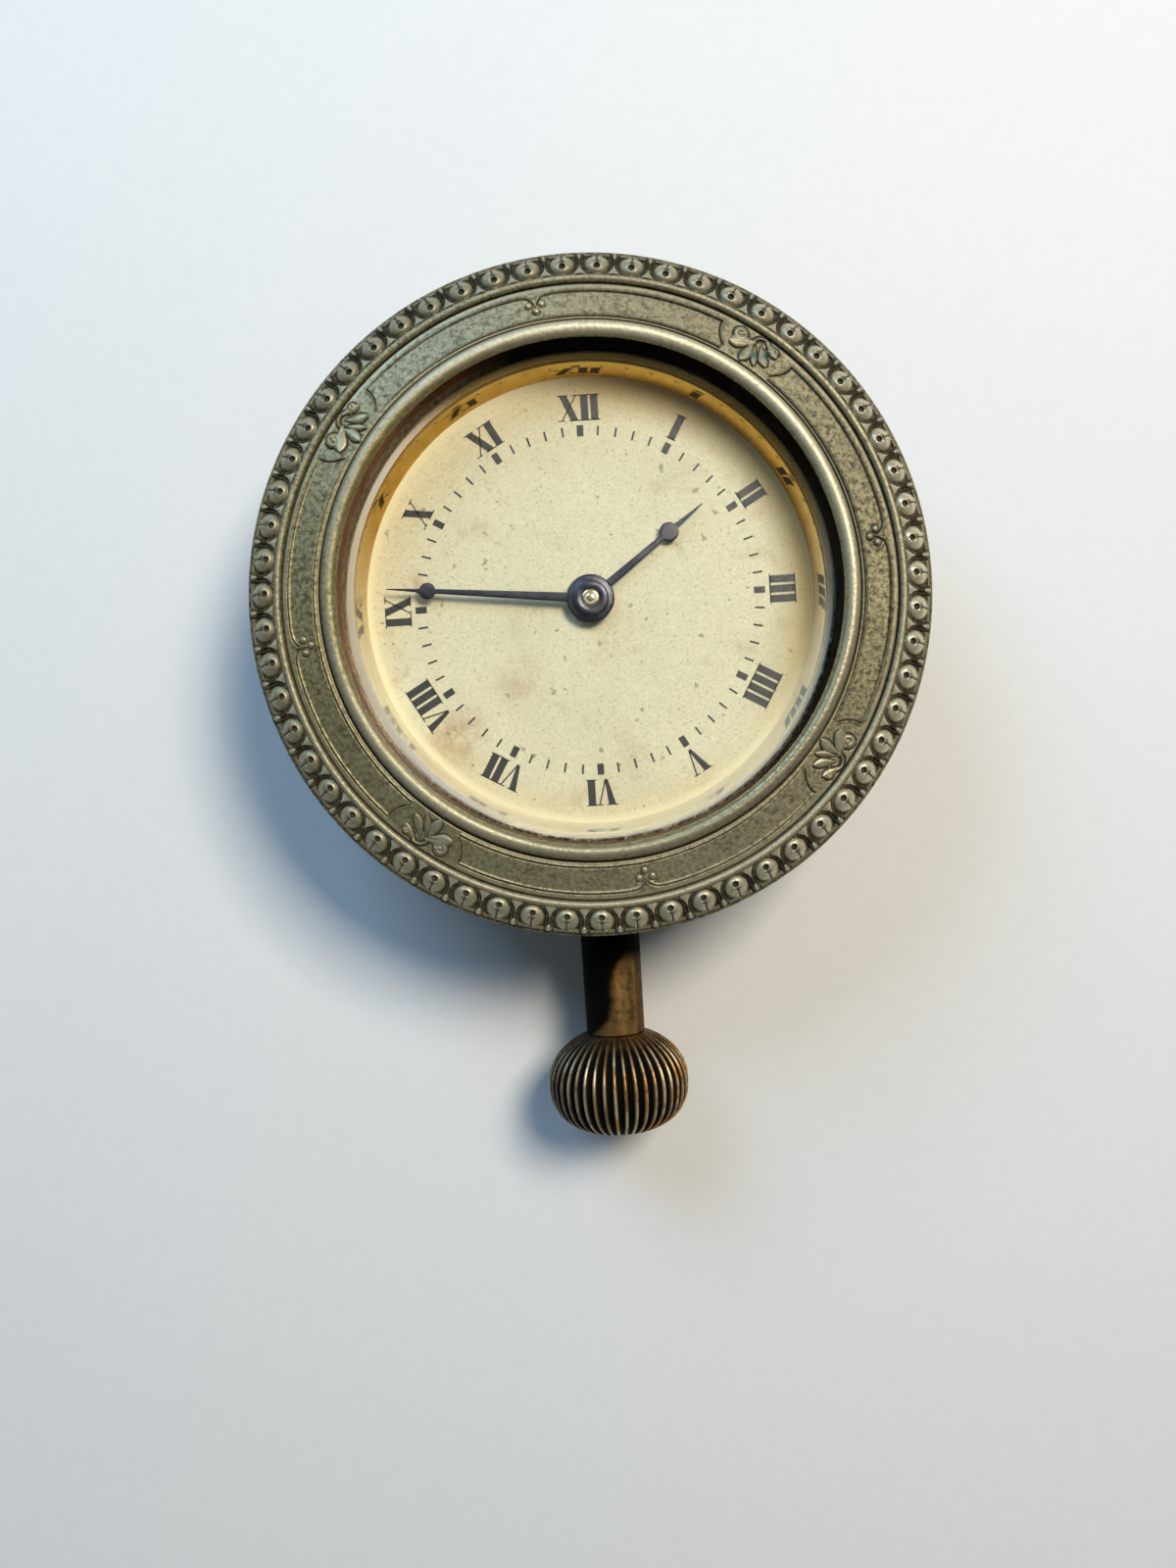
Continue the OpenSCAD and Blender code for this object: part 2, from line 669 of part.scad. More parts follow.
// Screws that hold the movement on the ledge of the case
module case_screws() {
  color([0.25, 0.25, 0.28])
    for (i = [0:case_screw_count - 1])
      at(polar(case_screw_ring_r, 60 + i * 360 / case_screw_count), pillar_top_z)
        slotted_screw(1.1, 0.7, case_screw_r, pillar_plate_t + ledge_t * 0.8);
}

// Cock over the balance, standing on its foot
module balance_cock() {
  color([0.76, 0.72, 0.64]) difference() {
    union() {
      translate([0, 0, cock_z]) linear_extrude(cock_t) bar2d(cock_foot_at, balance_at, 3.2, 3);
      at(cock_foot_at, cock_z) cylinder(r = 3, h = cock_t + cock_foot_h);
    }
    at(cock_foot_at, cock_z - 1) cylinder(r = plate_screw_r + push_fit, h = cock_t + cock_foot_h + 2);
    at(balance_at, cock_z - 1) cylinder(r = jewel_r + push_fit, h = cock_t + 2);
    at(stud_at, cock_z - 1) cylinder(r = stud_r + push_fit, h = cock_t + 2);
  }
}

// Bridge under the back plate that carries the rear pivot of the pallets
module pallet_bridge() {
  color([0.76, 0.72, 0.64]) difference() {
    translate([0, 0, inner_back_z])
      linear_extrude(pallet_bridge_t) bar2d(pallet_foot_at, pallet_at, 1.9, 1.7);
    at(pallet_foot_at, inner_back_z - 1) cylinder(r = plate_screw_r + push_fit, h = pallet_bridge_t + 2);
    at(pallet_at, inner_back_z - 1) cylinder(r = jewel_r + push_fit, h = pallet_bridge_t + 2);
  }
}

// Ring jewels of the train, pallets and balance
module jewel(h) {
  difference() {
    cylinder(r = jewel_r, h = h);
    translate([0, 0, -1]) cylinder(r = pivot_r + run_fit, h = h + 2);
  }
}
module jewels() {
  color([0.75, 0.12, 0.25]) {
    for (p = [third_at, fourth_at, escape_at]) {
      at(p, inner_back_z - jewel_t) jewel(jewel_t);
      at(p, inner_front_z + push_fit) jewel(jewel_t);
    }
    for (p = [pallet_at, balance_at])
      at(p, inner_front_z + push_fit) jewel(jewel_t);
    at(pallet_at, inner_back_z) jewel(jewel_t);
    at(balance_at, cock_top_z - jewel_t) jewel(jewel_t);
  }
}

// Stud that pins the outer end of the hairspring to the cock
module hairspring_stud() {
  color([0.5, 0.5, 0.52])
    at(stud_at, cock_z + 0.2) cylinder(r = stud_r, h = hairspring_z + hairspring_t - cock_z - 0.2);
}

// Lever that sets the rate, turning on the cock round the balance jewel
module regulator() {
  color([0.55, 0.56, 0.6]) at(balance_at, regulator_z + 0.1) difference() {
    union() {
      cylinder(r = 2.4, h = regulator_t);
      linear_extrude(regulator_t) bar2d([0, 0], polar(75 * unit, 115), 1.1, 0.45);
    }
    translate([0, 0, -1]) cylinder(r = jewel_r + 0.1, h = regulator_t + 2);
  }
}

// Shoulder screw on which the crown wheel turns
module crown_wheel_screw() {
  color([0.22, 0.26, 0.4]) at(crown_at) difference() {
    union() {
      translate([0, 0, back_plate_z + 0.2]) cylinder(r = crown_screw_r, h = back_plate_t + 0.5);
      translate([0, 0, inner_back_z]) cylinder(r = crown_hub_r, h = contrate_root_z + 0.06 - inner_back_z);
      translate([0, 0, contrate_root_z + 0.05]) cylinder(r = crown_hub_r + 0.6, h = 0.4);
    }
    translate([-4, -0.15, contrate_root_z + 0.25]) cube([8, 0.3, 1]);
  }
}

// Post and blade of the click spring
module click_spring() {
  color([0.6, 0.62, 0.66]) union() {
    at(click_spring_at, back_plate_z + 0.3)
      cylinder(r = click_post_r, h = winding_wheel_z + winding_wheel_t * 0.8 - back_plate_z - 0.3);
    translate([0, 0, winding_wheel_z])
      linear_extrude(winding_wheel_t * 0.8)
        bar2d(click_spring_at, click_at + polar(2.15, 130), 1, 0.25);
  }
}

// Click that holds the ratchet wheel, on its post
module click() {
  beak = barrel_at + polar(ratchet_pitch_r + addendum * winding_m + 0.55, click_angle - 16);
  color([0.6, 0.62, 0.66]) translate([0, 0, winding_wheel_z]) difference() {
    linear_extrude(winding_wheel_t) bar2d(click_at, beak, 1.5, 0.3);
    at(click_at, -1) cylinder(r = click_post_r + run_fit, h = winding_wheel_t + 2);
  }
}

// Post of the click, riveted in the back plate
module click_post() {
  color([0.5, 0.5, 0.54]) at(click_at) union() {
    translate([0, 0, back_plate_z + 0.3])
      cylinder(r = click_post_r, h = contrate_root_z - 0.1 - back_plate_z);
    translate([0, 0, inner_back_z]) cylinder(r = 1.2, h = winding_wheel_z - inner_back_z - 0.05);
    translate([0, 0, contrate_root_z + 0.08]) cylinder(r = 1, h = 0.3);
  }
}

// Pinion on the stem, driving the crown wheel's face teeth
module winding_pinion() {
  color([0.6, 0.6, 0.64]) on_stem(-winding_pinion_y) translate([0, 0, -winding_pinion_len / 2]) difference() {
    rotate(90) linear_extrude(winding_pinion_len) gear2d(winding_z, winding_m, 3);
    squared(-1, winding_pinion_len + 2, square_fit);
  }
}

// Square bar along +Z, with its play all round
module squared(z, h, play) {
  s = stem_square + 2 * play;
  translate([-s / 2, -s / 2, z]) cube([s, s, h]);
}

// Sleeve on the stem's square that slides towards the setting wheel
module clutch_wheel() {
  color([0.6, 0.6, 0.64]) on_stem(-clutch_y) translate([0, 0, -clutch_len / 2]) difference() {
    rotate(90) linear_extrude(clutch_len) gear2d(clutch_z, clutch_m, 3);
    translate([0, 0, clutch_len * 0.35]) difference() {
      cylinder(r = 5, h = clutch_len * 0.3);
      translate([0, 0, -1]) cylinder(r = 1.9, h = clutch_len);
    }
    squared(-1, clutch_len + 2, square_fit);
  }
}

// Stem from the knob to its squared inner end
module winding_stem() {
  out = knob_from + knob_len - 4;
  shoulder = -(winding_pinion_y - winding_pinion_len / 2) + 0.4;
  inner = -(clutch_y + clutch_len / 2) - pull_travel - 0.3;
  color([0.62, 0.62, 0.66]) on_stem() difference() {
    union() {
      translate([0, 0, shoulder]) cylinder(r = stem_r, h = out - shoulder);
      squared(inner, shoulder - inner + 0.2, 0);
    }
    translate([0, 0, -groove_y - 0.85]) difference() {
      cylinder(r = stem_r + 1, h = 1.7);
      translate([0, 0, -1]) cylinder(r = stem_r * 0.55, h = 4);
    }
  }
}

// Ribbed winding knob, bored for the stem
module winding_knob() {
  mid = knob_len * 0.46;
  end_drop = knob_r * 0.4;
  far = knob_len - mid;
  arc_r = (far * far + end_drop * end_drop) / (2 * end_drop);
  color([0.34, 0.25, 0.17]) on_stem(knob_from) difference() {
    union() {
      rotate_extrude() knob_profile(arc_r, mid, knob_r - rib_depth);
      for (i = [0:rib_count - 1])
        rotate(i * 360 / rib_count)
          rotate_extrude(angle = 3.2) knob_profile(arc_r, mid, knob_r);
    }
    translate([0, 0, -1]) cylinder(r = stem_r + push_fit, h = knob_len - 3 + push_fit);
  }
}
module knob_profile(arc_r, mid, r) {
  intersection() {
    translate([r - arc_r, mid]) circle(r = arc_r);
    translate([0, 0]) square([knob_r + 1, knob_len]);
  }
}

// Lever moved by the stem's groove when the knob is pulled
module setting_lever() {
  pin_at = [0, groove_y];
  color([0.6, 0.62, 0.66]) union() {
    translate([0, 0, lever_z]) difference() {
      linear_extrude(lever_t) bar2d(setting_lever_at, pin_at, 1.6, 0.9);
      at(setting_lever_at, -1) cylinder(r = lever_post_r + run_fit, h = lever_t + 2);
    }
    at(pin_at, stem_z + stem_r * 0.68) cylinder(r = 0.5, h = lever_z - stem_z - stem_r * 0.68 + 0.1);
  }
}

// Post of the setting lever
module lever_post() {
  color([0.5, 0.5, 0.54]) at(setting_lever_at) union() {
    translate([0, 0, lever_z - 0.2]) cylinder(r = lever_post_r, h = pillar_plate_t + lever_t + 0.2);
    translate([0, 0, lever_z - 0.6]) cylinder(r = 1.2, h = 0.5);
  }
}

// Crown wheel: spur teeth for the ratchet wheel and face teeth for the pinion
module crown_wheel() {
  color([0.66, 0.66, 0.7]) at(crown_at) difference() {
    union() {
      translate([0, 0, winding_wheel_z]) rotate(crown_phase)
        linear_extrude(winding_wheel_t) gear2d(crown_z, winding_m);
      for (i = [0:contrate_z - 1])
        rotate(contrate_phase + i * 360 / contrate_z) face_tooth();
    }
    translate([0, 0, winding_wheel_z - 1]) cylinder(r = crown_hub_r + run_fit, h = winding_wheel_t + 2);
  }
}
module face_tooth() {
  base = PI * winding_m * 0.44;
  tip = PI * winding_m * 0.2;
  low = contrate_root_z - 0.1;
  translate([contrate_r - contrate_w / 2, 0, 0]) rotate([90, 0, 90]) linear_extrude(contrate_w)
    polygon([[-base / 2, low], [base / 2, low], [tip / 2, contrate_tip_z], [-tip / 2, contrate_tip_z]]);
}

// Ratchet wheel on the square of the barrel arbor
module ratchet_wheel() {
  side = barrel_arbor_r * 1.7 + 2 * square_fit;
  color([0.66, 0.66, 0.7]) at(barrel_at, winding_wheel_z) difference() {
    rotate(ratchet_phase) linear_extrude(winding_wheel_t) gear2d(ratchet_z, winding_m);
    translate([-side / 2, -side / 2, -1]) cube([side, side, winding_wheel_t + 2]);
  }
}

// Barrel arbor, with a square for the ratchet and a hub for the spring
module barrel_arbor() {
  side = barrel_arbor_r * 1.7;
  color([0.6, 0.6, 0.64]) at(barrel_at) union() {
    translate([0, 0, back_plate_z + 0.3]) cylinder(r = barrel_arbor_r, h = back_plate_t);
    translate([-side / 2, -side / 2, inner_back_z]) cube([side, side, drum_z - inner_back_z]);
    translate([0, 0, drum_z - 0.2]) cylinder(r = barrel_arbor_r, h = inner_front_z + 1.2 - drum_z);
    translate([0, 0, drum_z + 1]) cylinder(r = hub_r, h = 3.2);
    translate([0, 0, drum_top_z + 0.15])
      cylinder(r = hub_r, h = inner_front_z - end_shake - drum_top_z - 0.15);
  }
}

// Going barrel, open at the back, with teeth on its closed end
module barrel_drum() {
  wall = 0.8;
  color([0.8, 0.66, 0.34]) at(barrel_at) difference() {
    union() {
      translate([0, 0, drum_z]) cylinder(r = drum_r, h = drum_top_z - drum_z);
      translate([0, 0, drum_top_z - barrel_teeth_t]) rotate(barrel_phase)
        linear_extrude(barrel_teeth_t) gear2d(barrel_z, barrel_m);
    }
    translate([0, 0, drum_z - 1]) cylinder(r = drum_r - wall, h = drum_top_z - drum_z);
    translate([0, 0, drum_z]) cylinder(r = barrel_arbor_r + run_fit, h = drum_top_z);
  }
}

// Cap snapped into the open side of the barrel
module barrel_cap() {
  color([0.8, 0.66, 0.34]) at(barrel_at, drum_z) difference() {
    cylinder(r = drum_r - 0.8 - push_fit, h = 0.7);
    translate([0, 0, -1]) cylinder(r = barrel_arbor_r + run_fit, h = 3);
  }
}

// Mainspring, a strip coiled from the hub to the drum's wall
module mainspring() {
  turns = 5;
  inner = hub_r + 0.25;
  outer = drum_r - 0.8 - 0.15;
  color([0.4, 0.42, 0.46]) at(barrel_at, drum_z + 1.1)
    linear_extrude(2.8) spiral2d(inner, outer, turns, 0.3, 24);
}

// A strip wound on an Archimedean spiral, drawn as one closed outline
module spiral2d(r0, r1, turns, t, steps) {
  n = turns * steps;
  g = (r1 - r0 - t) / n;
  polygon([
    for (i = [0:n]) polar(r0 + t + g * i, i * 360 / steps),
    for (i = [n:-1:0]) polar(r0 + g * i, i * 360 / steps)
  ]);
}

module intermediate_wheel() {
  color([0.84, 0.7, 0.38]) at(inter_at, inter_wheel_z)
    spoked_wheel(inter_z, inter_m, wheel_t, arbor_r + push_fit, 2.2, 5, inter_phase);
}
module intermediate_arbor() {
  color([0.6, 0.6, 0.64]) pinion_arbor(
    inter_at, inter_pinion_z, barrel_m, inter_pinion_phase,
    drum_top_z - barrel_teeth_t - 0.3, barrel_teeth_t + 0.8
  );
}

module centre_wheel() {
  color([0.84, 0.7, 0.38]) at(centre_at, centre_wheel_z)
    spoked_wheel(centre_z, centre_m, wheel_t, centre_arbor_r + push_fit, 2.2, 5, centre_phase);
}

// Centre arbor, which carries the cannon pinion through the plate
module centre_arbor() {
  low = inner_back_z + end_shake;
  high = inner_front_z - end_shake;
  color([0.6, 0.6, 0.64]) union() {
    translate([0, 0, low]) cylinder(r = centre_arbor_r, h = pillar_top_z - low);
    translate([0, 0, low - back_plate_t * 0.7]) cylinder(r = pivot_r, h = back_plate_t * 0.8);
    translate([0, 0, pillar_top_z - 0.1]) cylinder(r = centre_post_r, h = hub_top_z - pillar_top_z + 0.1);
    translate([0, 0, inter_wheel_z - 0.25]) rotate(centre_pinion_phase)
      linear_extrude(min(wheel_t + 0.5, high - inter_wheel_z + 0.25)) gear2d(centre_pinion_z, inter_m, 3);
  }
}

module third_wheel() {
  color([0.84, 0.7, 0.38]) at(third_at, third_wheel_z)
    spoked_wheel(third_z, third_m, wheel_t, arbor_r + push_fit, 1.8, 5, third_phase);
}
module third_arbor() {
  color([0.6, 0.6, 0.64]) pinion_arbor(
    third_at, third_pinion_z, centre_m, third_pinion_phase, centre_wheel_z - 0.3, wheel_t + 0.6
  );
}

module fourth_wheel() {
  color([0.84, 0.7, 0.38]) at(fourth_at, fourth_wheel_z)
    spoked_wheel(fourth_z, fourth_m, wheel_t, arbor_r + push_fit, 1.7, 5, fourth_phase);
}
module fourth_arbor() {
  color([0.6, 0.6, 0.64]) pinion_arbor(
    fourth_at, fourth_pinion_z, third_m, fourth_pinion_phase, third_wheel_z - 0.3, wheel_t + 0.6
  );
}

// Escape wheel with club teeth that lean into the turn
module escape_wheel() {
  pitch = 360 / escape_z;
  root = escape_r * 0.74;
  color([0.7, 0.7, 0.74]) at(escape_at, escape_wheel_z) difference() {
    linear_extrude(escape_t) polygon([
      for (i = [0:escape_z - 1]) each [
        polar(root, i * pitch),
        polar(escape_r - 0.15, i * pitch + 8),
        polar(escape_r, i * pitch + 11.5),
        polar(root, i * pitch + 10)
      ]
    ]);
    translate([0, 0, -1]) cylinder(r = arbor_r + push_fit, h = escape_t + 2);
    for (i = [0:3])
      rotate(i * 90 + 10) translate([0, 0, -1]) rotate_extrude(angle = 70)
        translate([arbor_r + 0.55, 0]) square([root - 0.45 - arbor_r - 0.55, escape_t + 2]);
  }
}
module escape_arbor() {
  color([0.6, 0.6, 0.64]) pinion_arbor(
    escape_at, escape_pinion_z, fourth_m, escape_pinion_phase, fourth_wheel_z - 0.3, wheel_t + 0.6
  );
}

// Pallet fork: two arms over the escape wheel and the lever to the balance
module pallet_fork() {
  toward = direction(pallet_at, escape_at);
  lever_dir = direction(pallet_at, balance_at);
  notch = lever_len - 0.1;
  color([0.66, 0.66, 0.7]) at(pallet_at, escape_wheel_z) difference() {
    union() {
      cylinder(r = pallet_hub_r, h = escape_t);
      for (s = [-1, 1])
        linear_extrude(escape_t) bar2d([0, 0], polar(stone_reach, toward + s * stone_angle), 0.7, 0.3);
      linear_extrude(escape_t) bar2d([0, 0], polar(lever_len - 1.4, lever_dir), 0.7, 0.4);
      for (s = [-1, 1])
        linear_extrude(escape_t)
          bar2d(polar(lever_len - 1.4, lever_dir), polar(notch, lever_dir + s * 5), 0.4, 0.2);
    }
    translate([0, 0, -1]) cylinder(r = arbor_r + push_fit, h = escape_t + 2);
    for (s = [-1, 1])
      rotate(toward + s * stone_angle)
        translate([stone_reach - 0.25, -0.15, -1]) cube([2, 0.3, escape_t + 2]);
  }
}

// Pallet stones, set in the slots of the fork's arms
module pallet_stones() {
  toward = direction(pallet_at, escape_at);
  color([0.75, 0.12, 0.25]) at(pallet_at, escape_wheel_z)
    for (s = [-1, 1])
      rotate(toward + s * stone_angle)
        translate([stone_reach - 0.24, -0.14, 0.05]) cube([0.7, 0.28, escape_t - 0.1]);
}

module pallet_arbor() {
  low = inner_back_z + pallet_bridge_t + end_shake;
  high = inner_front_z - end_shake;
  color([0.6, 0.6, 0.64]) at(pallet_at) union() {
    translate([0, 0, low]) cylinder(r = arbor_r, h = high - low);
    translate([0, 0, low - 0.9]) cylinder(r = pivot_r, h = 1);
    translate([0, 0, high - 0.1]) cylinder(r = pivot_r, h = 0.9);
  }
}

// Balance wheel: a plain rim on two arms
module balance_wheel() {
  rim = 1.2;
  color([0.82, 0.68, 0.36]) at(balance_at, balance_z) difference() {
    union() {
      difference() {
        cylinder(r = balance_r - 0.6, h = balance_t);
        translate([0, 0, -1]) cylinder(r = balance_r - 0.6 - rim, h = balance_t + 2);
      }
      translate([-balance_r + 1.2, -0.8, 0.3]) cube([2 * balance_r - 2.4, 1.6, balance_t - 0.6]);
      translate([0, 0, 0.3]) cylinder(r = 1.9, h = balance_t - 0.6);
    }
    translate([0, 0, -1]) cylinder(r = staff_r + push_fit, h = balance_t + 2);
    for (i = [0:timing_screw_count - 1])
      rotate(timing_screw_from + i * 360 / timing_screw_count)
        translate([balance_r - 2, 0, balance_t / 2]) rotate([0, 90, 0])
          cylinder(r = timing_shank_r + push_fit, h = 3);
  }
}

// Timing screws round the balance rim
module timing_screws() {
  color([0.86, 0.72, 0.4]) at(balance_at, balance_z + balance_t / 2)
    for (i = [0:timing_screw_count - 1])
      rotate(timing_screw_from + i * 360 / timing_screw_count) rotate([0, 90, 0]) union() {
        translate([0, 0, balance_r - 0.6 + push_fit]) cylinder(r = 0.45, h = 0.6);
        translate([0, 0, balance_r - 1.4]) cylinder(r = timing_shank_r, h = 1.2);
      }
}

module balance_staff() {
  low = cock_top_z + end_shake;
  high = inner_front_z - end_shake;
  color([0.6, 0.6, 0.64]) at(balance_at) union() {
    translate([0, 0, low]) cylinder(r = staff_r, h = high - low);
    translate([0, 0, low - 0.7]) cylinder(r = pivot_r, h = 0.8);
    translate([0, 0, high - 0.1]) cylinder(r = pivot_r, h = 0.8);
  }
}

// Roller table with its impulse pin, which stops short of the fork
module roller() {
  color([0.64, 0.64, 0.68]) at(balance_at, roller_z) union() {
    difference() {
      cylinder(r = roller_pin_r + 0.5, h = roller_t);
      translate([0, 0, -1]) cylinder(r = staff_r + push_fit, h = roller_t + 2);
    }
    at(polar(roller_pin_r, direction(balance_at, pallet_at)), roller_t - 0.1)
      cylinder(r = 0.25, h = escape_wheel_z - roller_z - roller_t - 0.1);
  }
}

// Flat hairspring from the staff's collet to the stud
module hairspring() {
  color([0.3, 0.4, 0.7]) at(balance_at, hairspring_z) union() {
    rotate(205) linear_extrude(hairspring_t) spiral2d(1.2, hairspring_r - stud_r - 0.05, 6, 0.09, 24);
    difference() {
      cylinder(r = 1.25, h = hairspring_t);
      translate([0, 0, -1]) cylinder(r = staff_r + push_fit, h = hairspring_t + 2);
    }
  }
}

// Cannon pinion, whose pipe carries the minute hand
module cannon_pinion() {
  color([0.6, 0.6, 0.64]) difference() {
    union() {
      translate([0, 0, motion_z]) rotate(cannon_phase) linear_extrude(1.3) gear2d(cannon_z, motion_m, 3);
      translate([0, 0, pillar_top_z + 0.1])
        cylinder(r = cannon_pipe_r, h = minute_hand_z + hand_t - pillar_top_z - 0.1);
    }
    translate([0, 0, pillar_top_z - 1]) cylinder(r = centre_post_r + run_fit, h = 12);
  }
}

// Minute wheel with its pinion, on a post in the pillar plate
module minute_wheel() {
  color([0.84, 0.7, 0.38]) at(minute_at) difference() {
    union() {
      translate([0, 0, motion_z]) rotate(minute_phase) linear_extrude(0.7) gear2d(minute_z, motion_m);
      translate([0, 0, motion_z + 0.6]) rotate(minute_pinion_phase)
        linear_extrude(hour_wheel_z - motion_z + 0.3) gear2d(minute_pinion_z, hour_m, 3);
    }
    translate([0, 0, motion_z - 1]) cylinder(r = minute_post_r + run_fit, h = 6);
  }
}
module minute_post() {
  color([0.6, 0.6, 0.64]) at(minute_at) union() {
    translate([0, 0, inner_front_z + 0.3])
      cylinder(r = minute_post_r, h = dial_back_z - 0.2 - inner_front_z - 0.3);
    translate([0, 0, pillar_top_z]) cylinder(r = 1.2, h = 0.3);
  }
}

// Hour wheel, whose pipe turns on the cannon pinion's
module hour_wheel() {
  color([0.84, 0.7, 0.38]) difference() {
    union() {
      translate([0, 0, hour_wheel_z]) rotate(hour_phase) linear_extrude(0.7) gear2d(hour_z, hour_m);
      translate([0, 0, hour_wheel_z]) cylinder(r = hour_pipe_r, h = hour_hand_z + hand_t - hour_wheel_z);
    }
    translate([0, 0, hour_wheel_z - 1]) cylinder(r = cannon_pipe_r + run_fit, h = 8);
  }
}

// Wheel on the front of the setting arbor, in mesh with the minute wheel
module setting_arbor() {
  color([0.6, 0.6, 0.64]) at(setting_at) union() {
    translate([0, 0, setting_wheel_z - 0.1])
      cylinder(r = setting_arbor_r, h = motion_z + 0.9 - setting_wheel_z);
    translate([0, 0, motion_z]) rotate(setting_phase) linear_extrude(0.7) gear2d(setting_pinion_z, motion_m);
  }
}

// Wheel behind the plate that the clutch turns when the knob is pulled
module setting_wheel() {
  color([0.66, 0.66, 0.7]) at(setting_at, setting_wheel_z) difference() {
    linear_extrude(0.8) gear2d(setting_z, setting_m);
    translate([0, 0, -1]) cylinder(r = setting_arbor_r + push_fit, h = 3);
  }
}

// Flat outline of a hand: tapered shaft, disc and point
module hand2d(len, disc_at, disc_r, w0, w1, w2) {
  circle(r = hand_boss_r * 0.8);
  polygon([[0, -w0 / 2], [disc_at, -w1 / 2], [disc_at, w1 / 2], [0, w0 / 2]]);
  translate([disc_at, 0]) circle(r = disc_r);
  polygon([[disc_at, -w2 / 2], [len, -0.1], [len, 0.1], [disc_at, w2 / 2]]);
}

module hour_hand() {
  color([0.1, 0.1, 0.13]) translate([0, 0, hour_hand_z]) difference() {
    rotate(hour_angle) linear_extrude(hand_t) hand2d(hour_len, hour_disc_at, hour_disc_r, 1.3, 0.95, 0.95);
    translate([0, 0, -1]) cylinder(r = hour_pipe_r + push_fit, h = 3);
  }
}

module minute_hand() {
  color([0.1, 0.1, 0.13]) translate([0, 0, minute_hand_z]) difference() {
    union() {
      rotate(minute_angle)
        linear_extrude(hand_t) hand2d(minute_len, minute_disc_at, minute_disc_r, 1.1, 0.75, 0.6);
      cylinder(r = hand_boss_r, h = hand_t);
      translate([0, 0, hand_t - 0.05])
        cylinder(r1 = hand_boss_r * 0.75, r2 = hand_boss_r * 0.6, h = boss_cone_h + 0.05);
    }
    translate([0, 0, -1]) cylinder(r = cannon_pipe_r + push_fit, h = 3);
  }
}

// Brass cap pressed on the centre arbor over the minute hand
module hand_cap() {
  color([0.8, 0.62, 0.3]) difference() {
    union() {
      translate([0, 0, boss_z + 0.02]) cylinder(r = cannon_pipe_r, h = hub_top_z - boss_z - 0.02);
      translate([0, 0, boss_z + boss_cone_h + 0.02])
        cylinder(r = cannon_pipe_r + 0.25, h = hub_top_z - boss_z - boss_cone_h - 0.02);
    }
    translate([0, 0, minute_hand_z]) cylinder(r = centre_post_r + run_fit, h = 3);
  }
}

case_body();
back_cover();
pendant_tube();
bezel();
glass();
reflector_ring();
dial();
pillar_plate();
pillars();
back_plate();
plate_screws();
case_screws();
balance_cock();
pallet_bridge();
jewels();
hairspring_stud();
regulator();
crown_wheel_screw();
click_spring();
click();
click_post();
winding_pinion();
clutch_wheel();
winding_stem();
winding_knob();
setting_lever();
lever_post();
crown_wheel();
ratchet_wheel();
barrel_arbor();
barrel_drum();
barrel_cap();
mainspring();
intermediate_wheel();
intermediate_arbor();
centre_wheel();
centre_arbor();
third_wheel();
third_arbor();
fourth_wheel();
fourth_arbor();
escape_wheel();
escape_arbor();
pallet_fork();
pallet_stones();
pallet_arbor();
balance_wheel();
timing_screws();
balance_staff();
roller();
hairspring();
cannon_pinion();
minute_wheel();
minute_post();
hour_wheel();
setting_arbor();
setting_wheel();
hour_hand();
minute_hand();
hand_cap();
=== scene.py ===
"""Looks of an eight-day car dashboard clock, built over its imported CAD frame.

Lengths are millimetres until a mesh is made. The dial faces +Z, twelve o'clock is +Y and the knob
points along -Y.
"""

import json
import math

import bpy
import bmesh
import numpy as np
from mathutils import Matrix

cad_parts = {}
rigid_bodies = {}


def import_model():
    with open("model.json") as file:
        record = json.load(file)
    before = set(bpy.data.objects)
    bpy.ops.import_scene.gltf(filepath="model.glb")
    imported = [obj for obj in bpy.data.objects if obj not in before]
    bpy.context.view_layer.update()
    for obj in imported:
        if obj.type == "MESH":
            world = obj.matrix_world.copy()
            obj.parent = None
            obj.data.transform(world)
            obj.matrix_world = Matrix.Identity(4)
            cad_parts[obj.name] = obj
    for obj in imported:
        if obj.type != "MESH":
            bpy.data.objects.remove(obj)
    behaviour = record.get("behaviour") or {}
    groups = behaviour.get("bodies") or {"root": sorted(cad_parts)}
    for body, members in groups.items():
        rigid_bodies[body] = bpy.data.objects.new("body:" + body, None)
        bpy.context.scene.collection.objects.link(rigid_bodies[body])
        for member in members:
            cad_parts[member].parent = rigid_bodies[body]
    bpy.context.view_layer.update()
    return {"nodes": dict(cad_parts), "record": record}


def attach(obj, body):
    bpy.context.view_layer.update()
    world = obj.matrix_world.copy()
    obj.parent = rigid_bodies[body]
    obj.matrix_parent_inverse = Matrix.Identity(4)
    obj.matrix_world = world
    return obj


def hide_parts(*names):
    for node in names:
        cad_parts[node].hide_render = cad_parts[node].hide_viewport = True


for spare in list(bpy.data.objects):
    bpy.data.objects.remove(spare)

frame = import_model()
nodes = frame["nodes"]
MM = 0.001
MM_PER_METRE = 1000
TAU = 2 * math.pi
MERGE_WITHIN = 1e-7

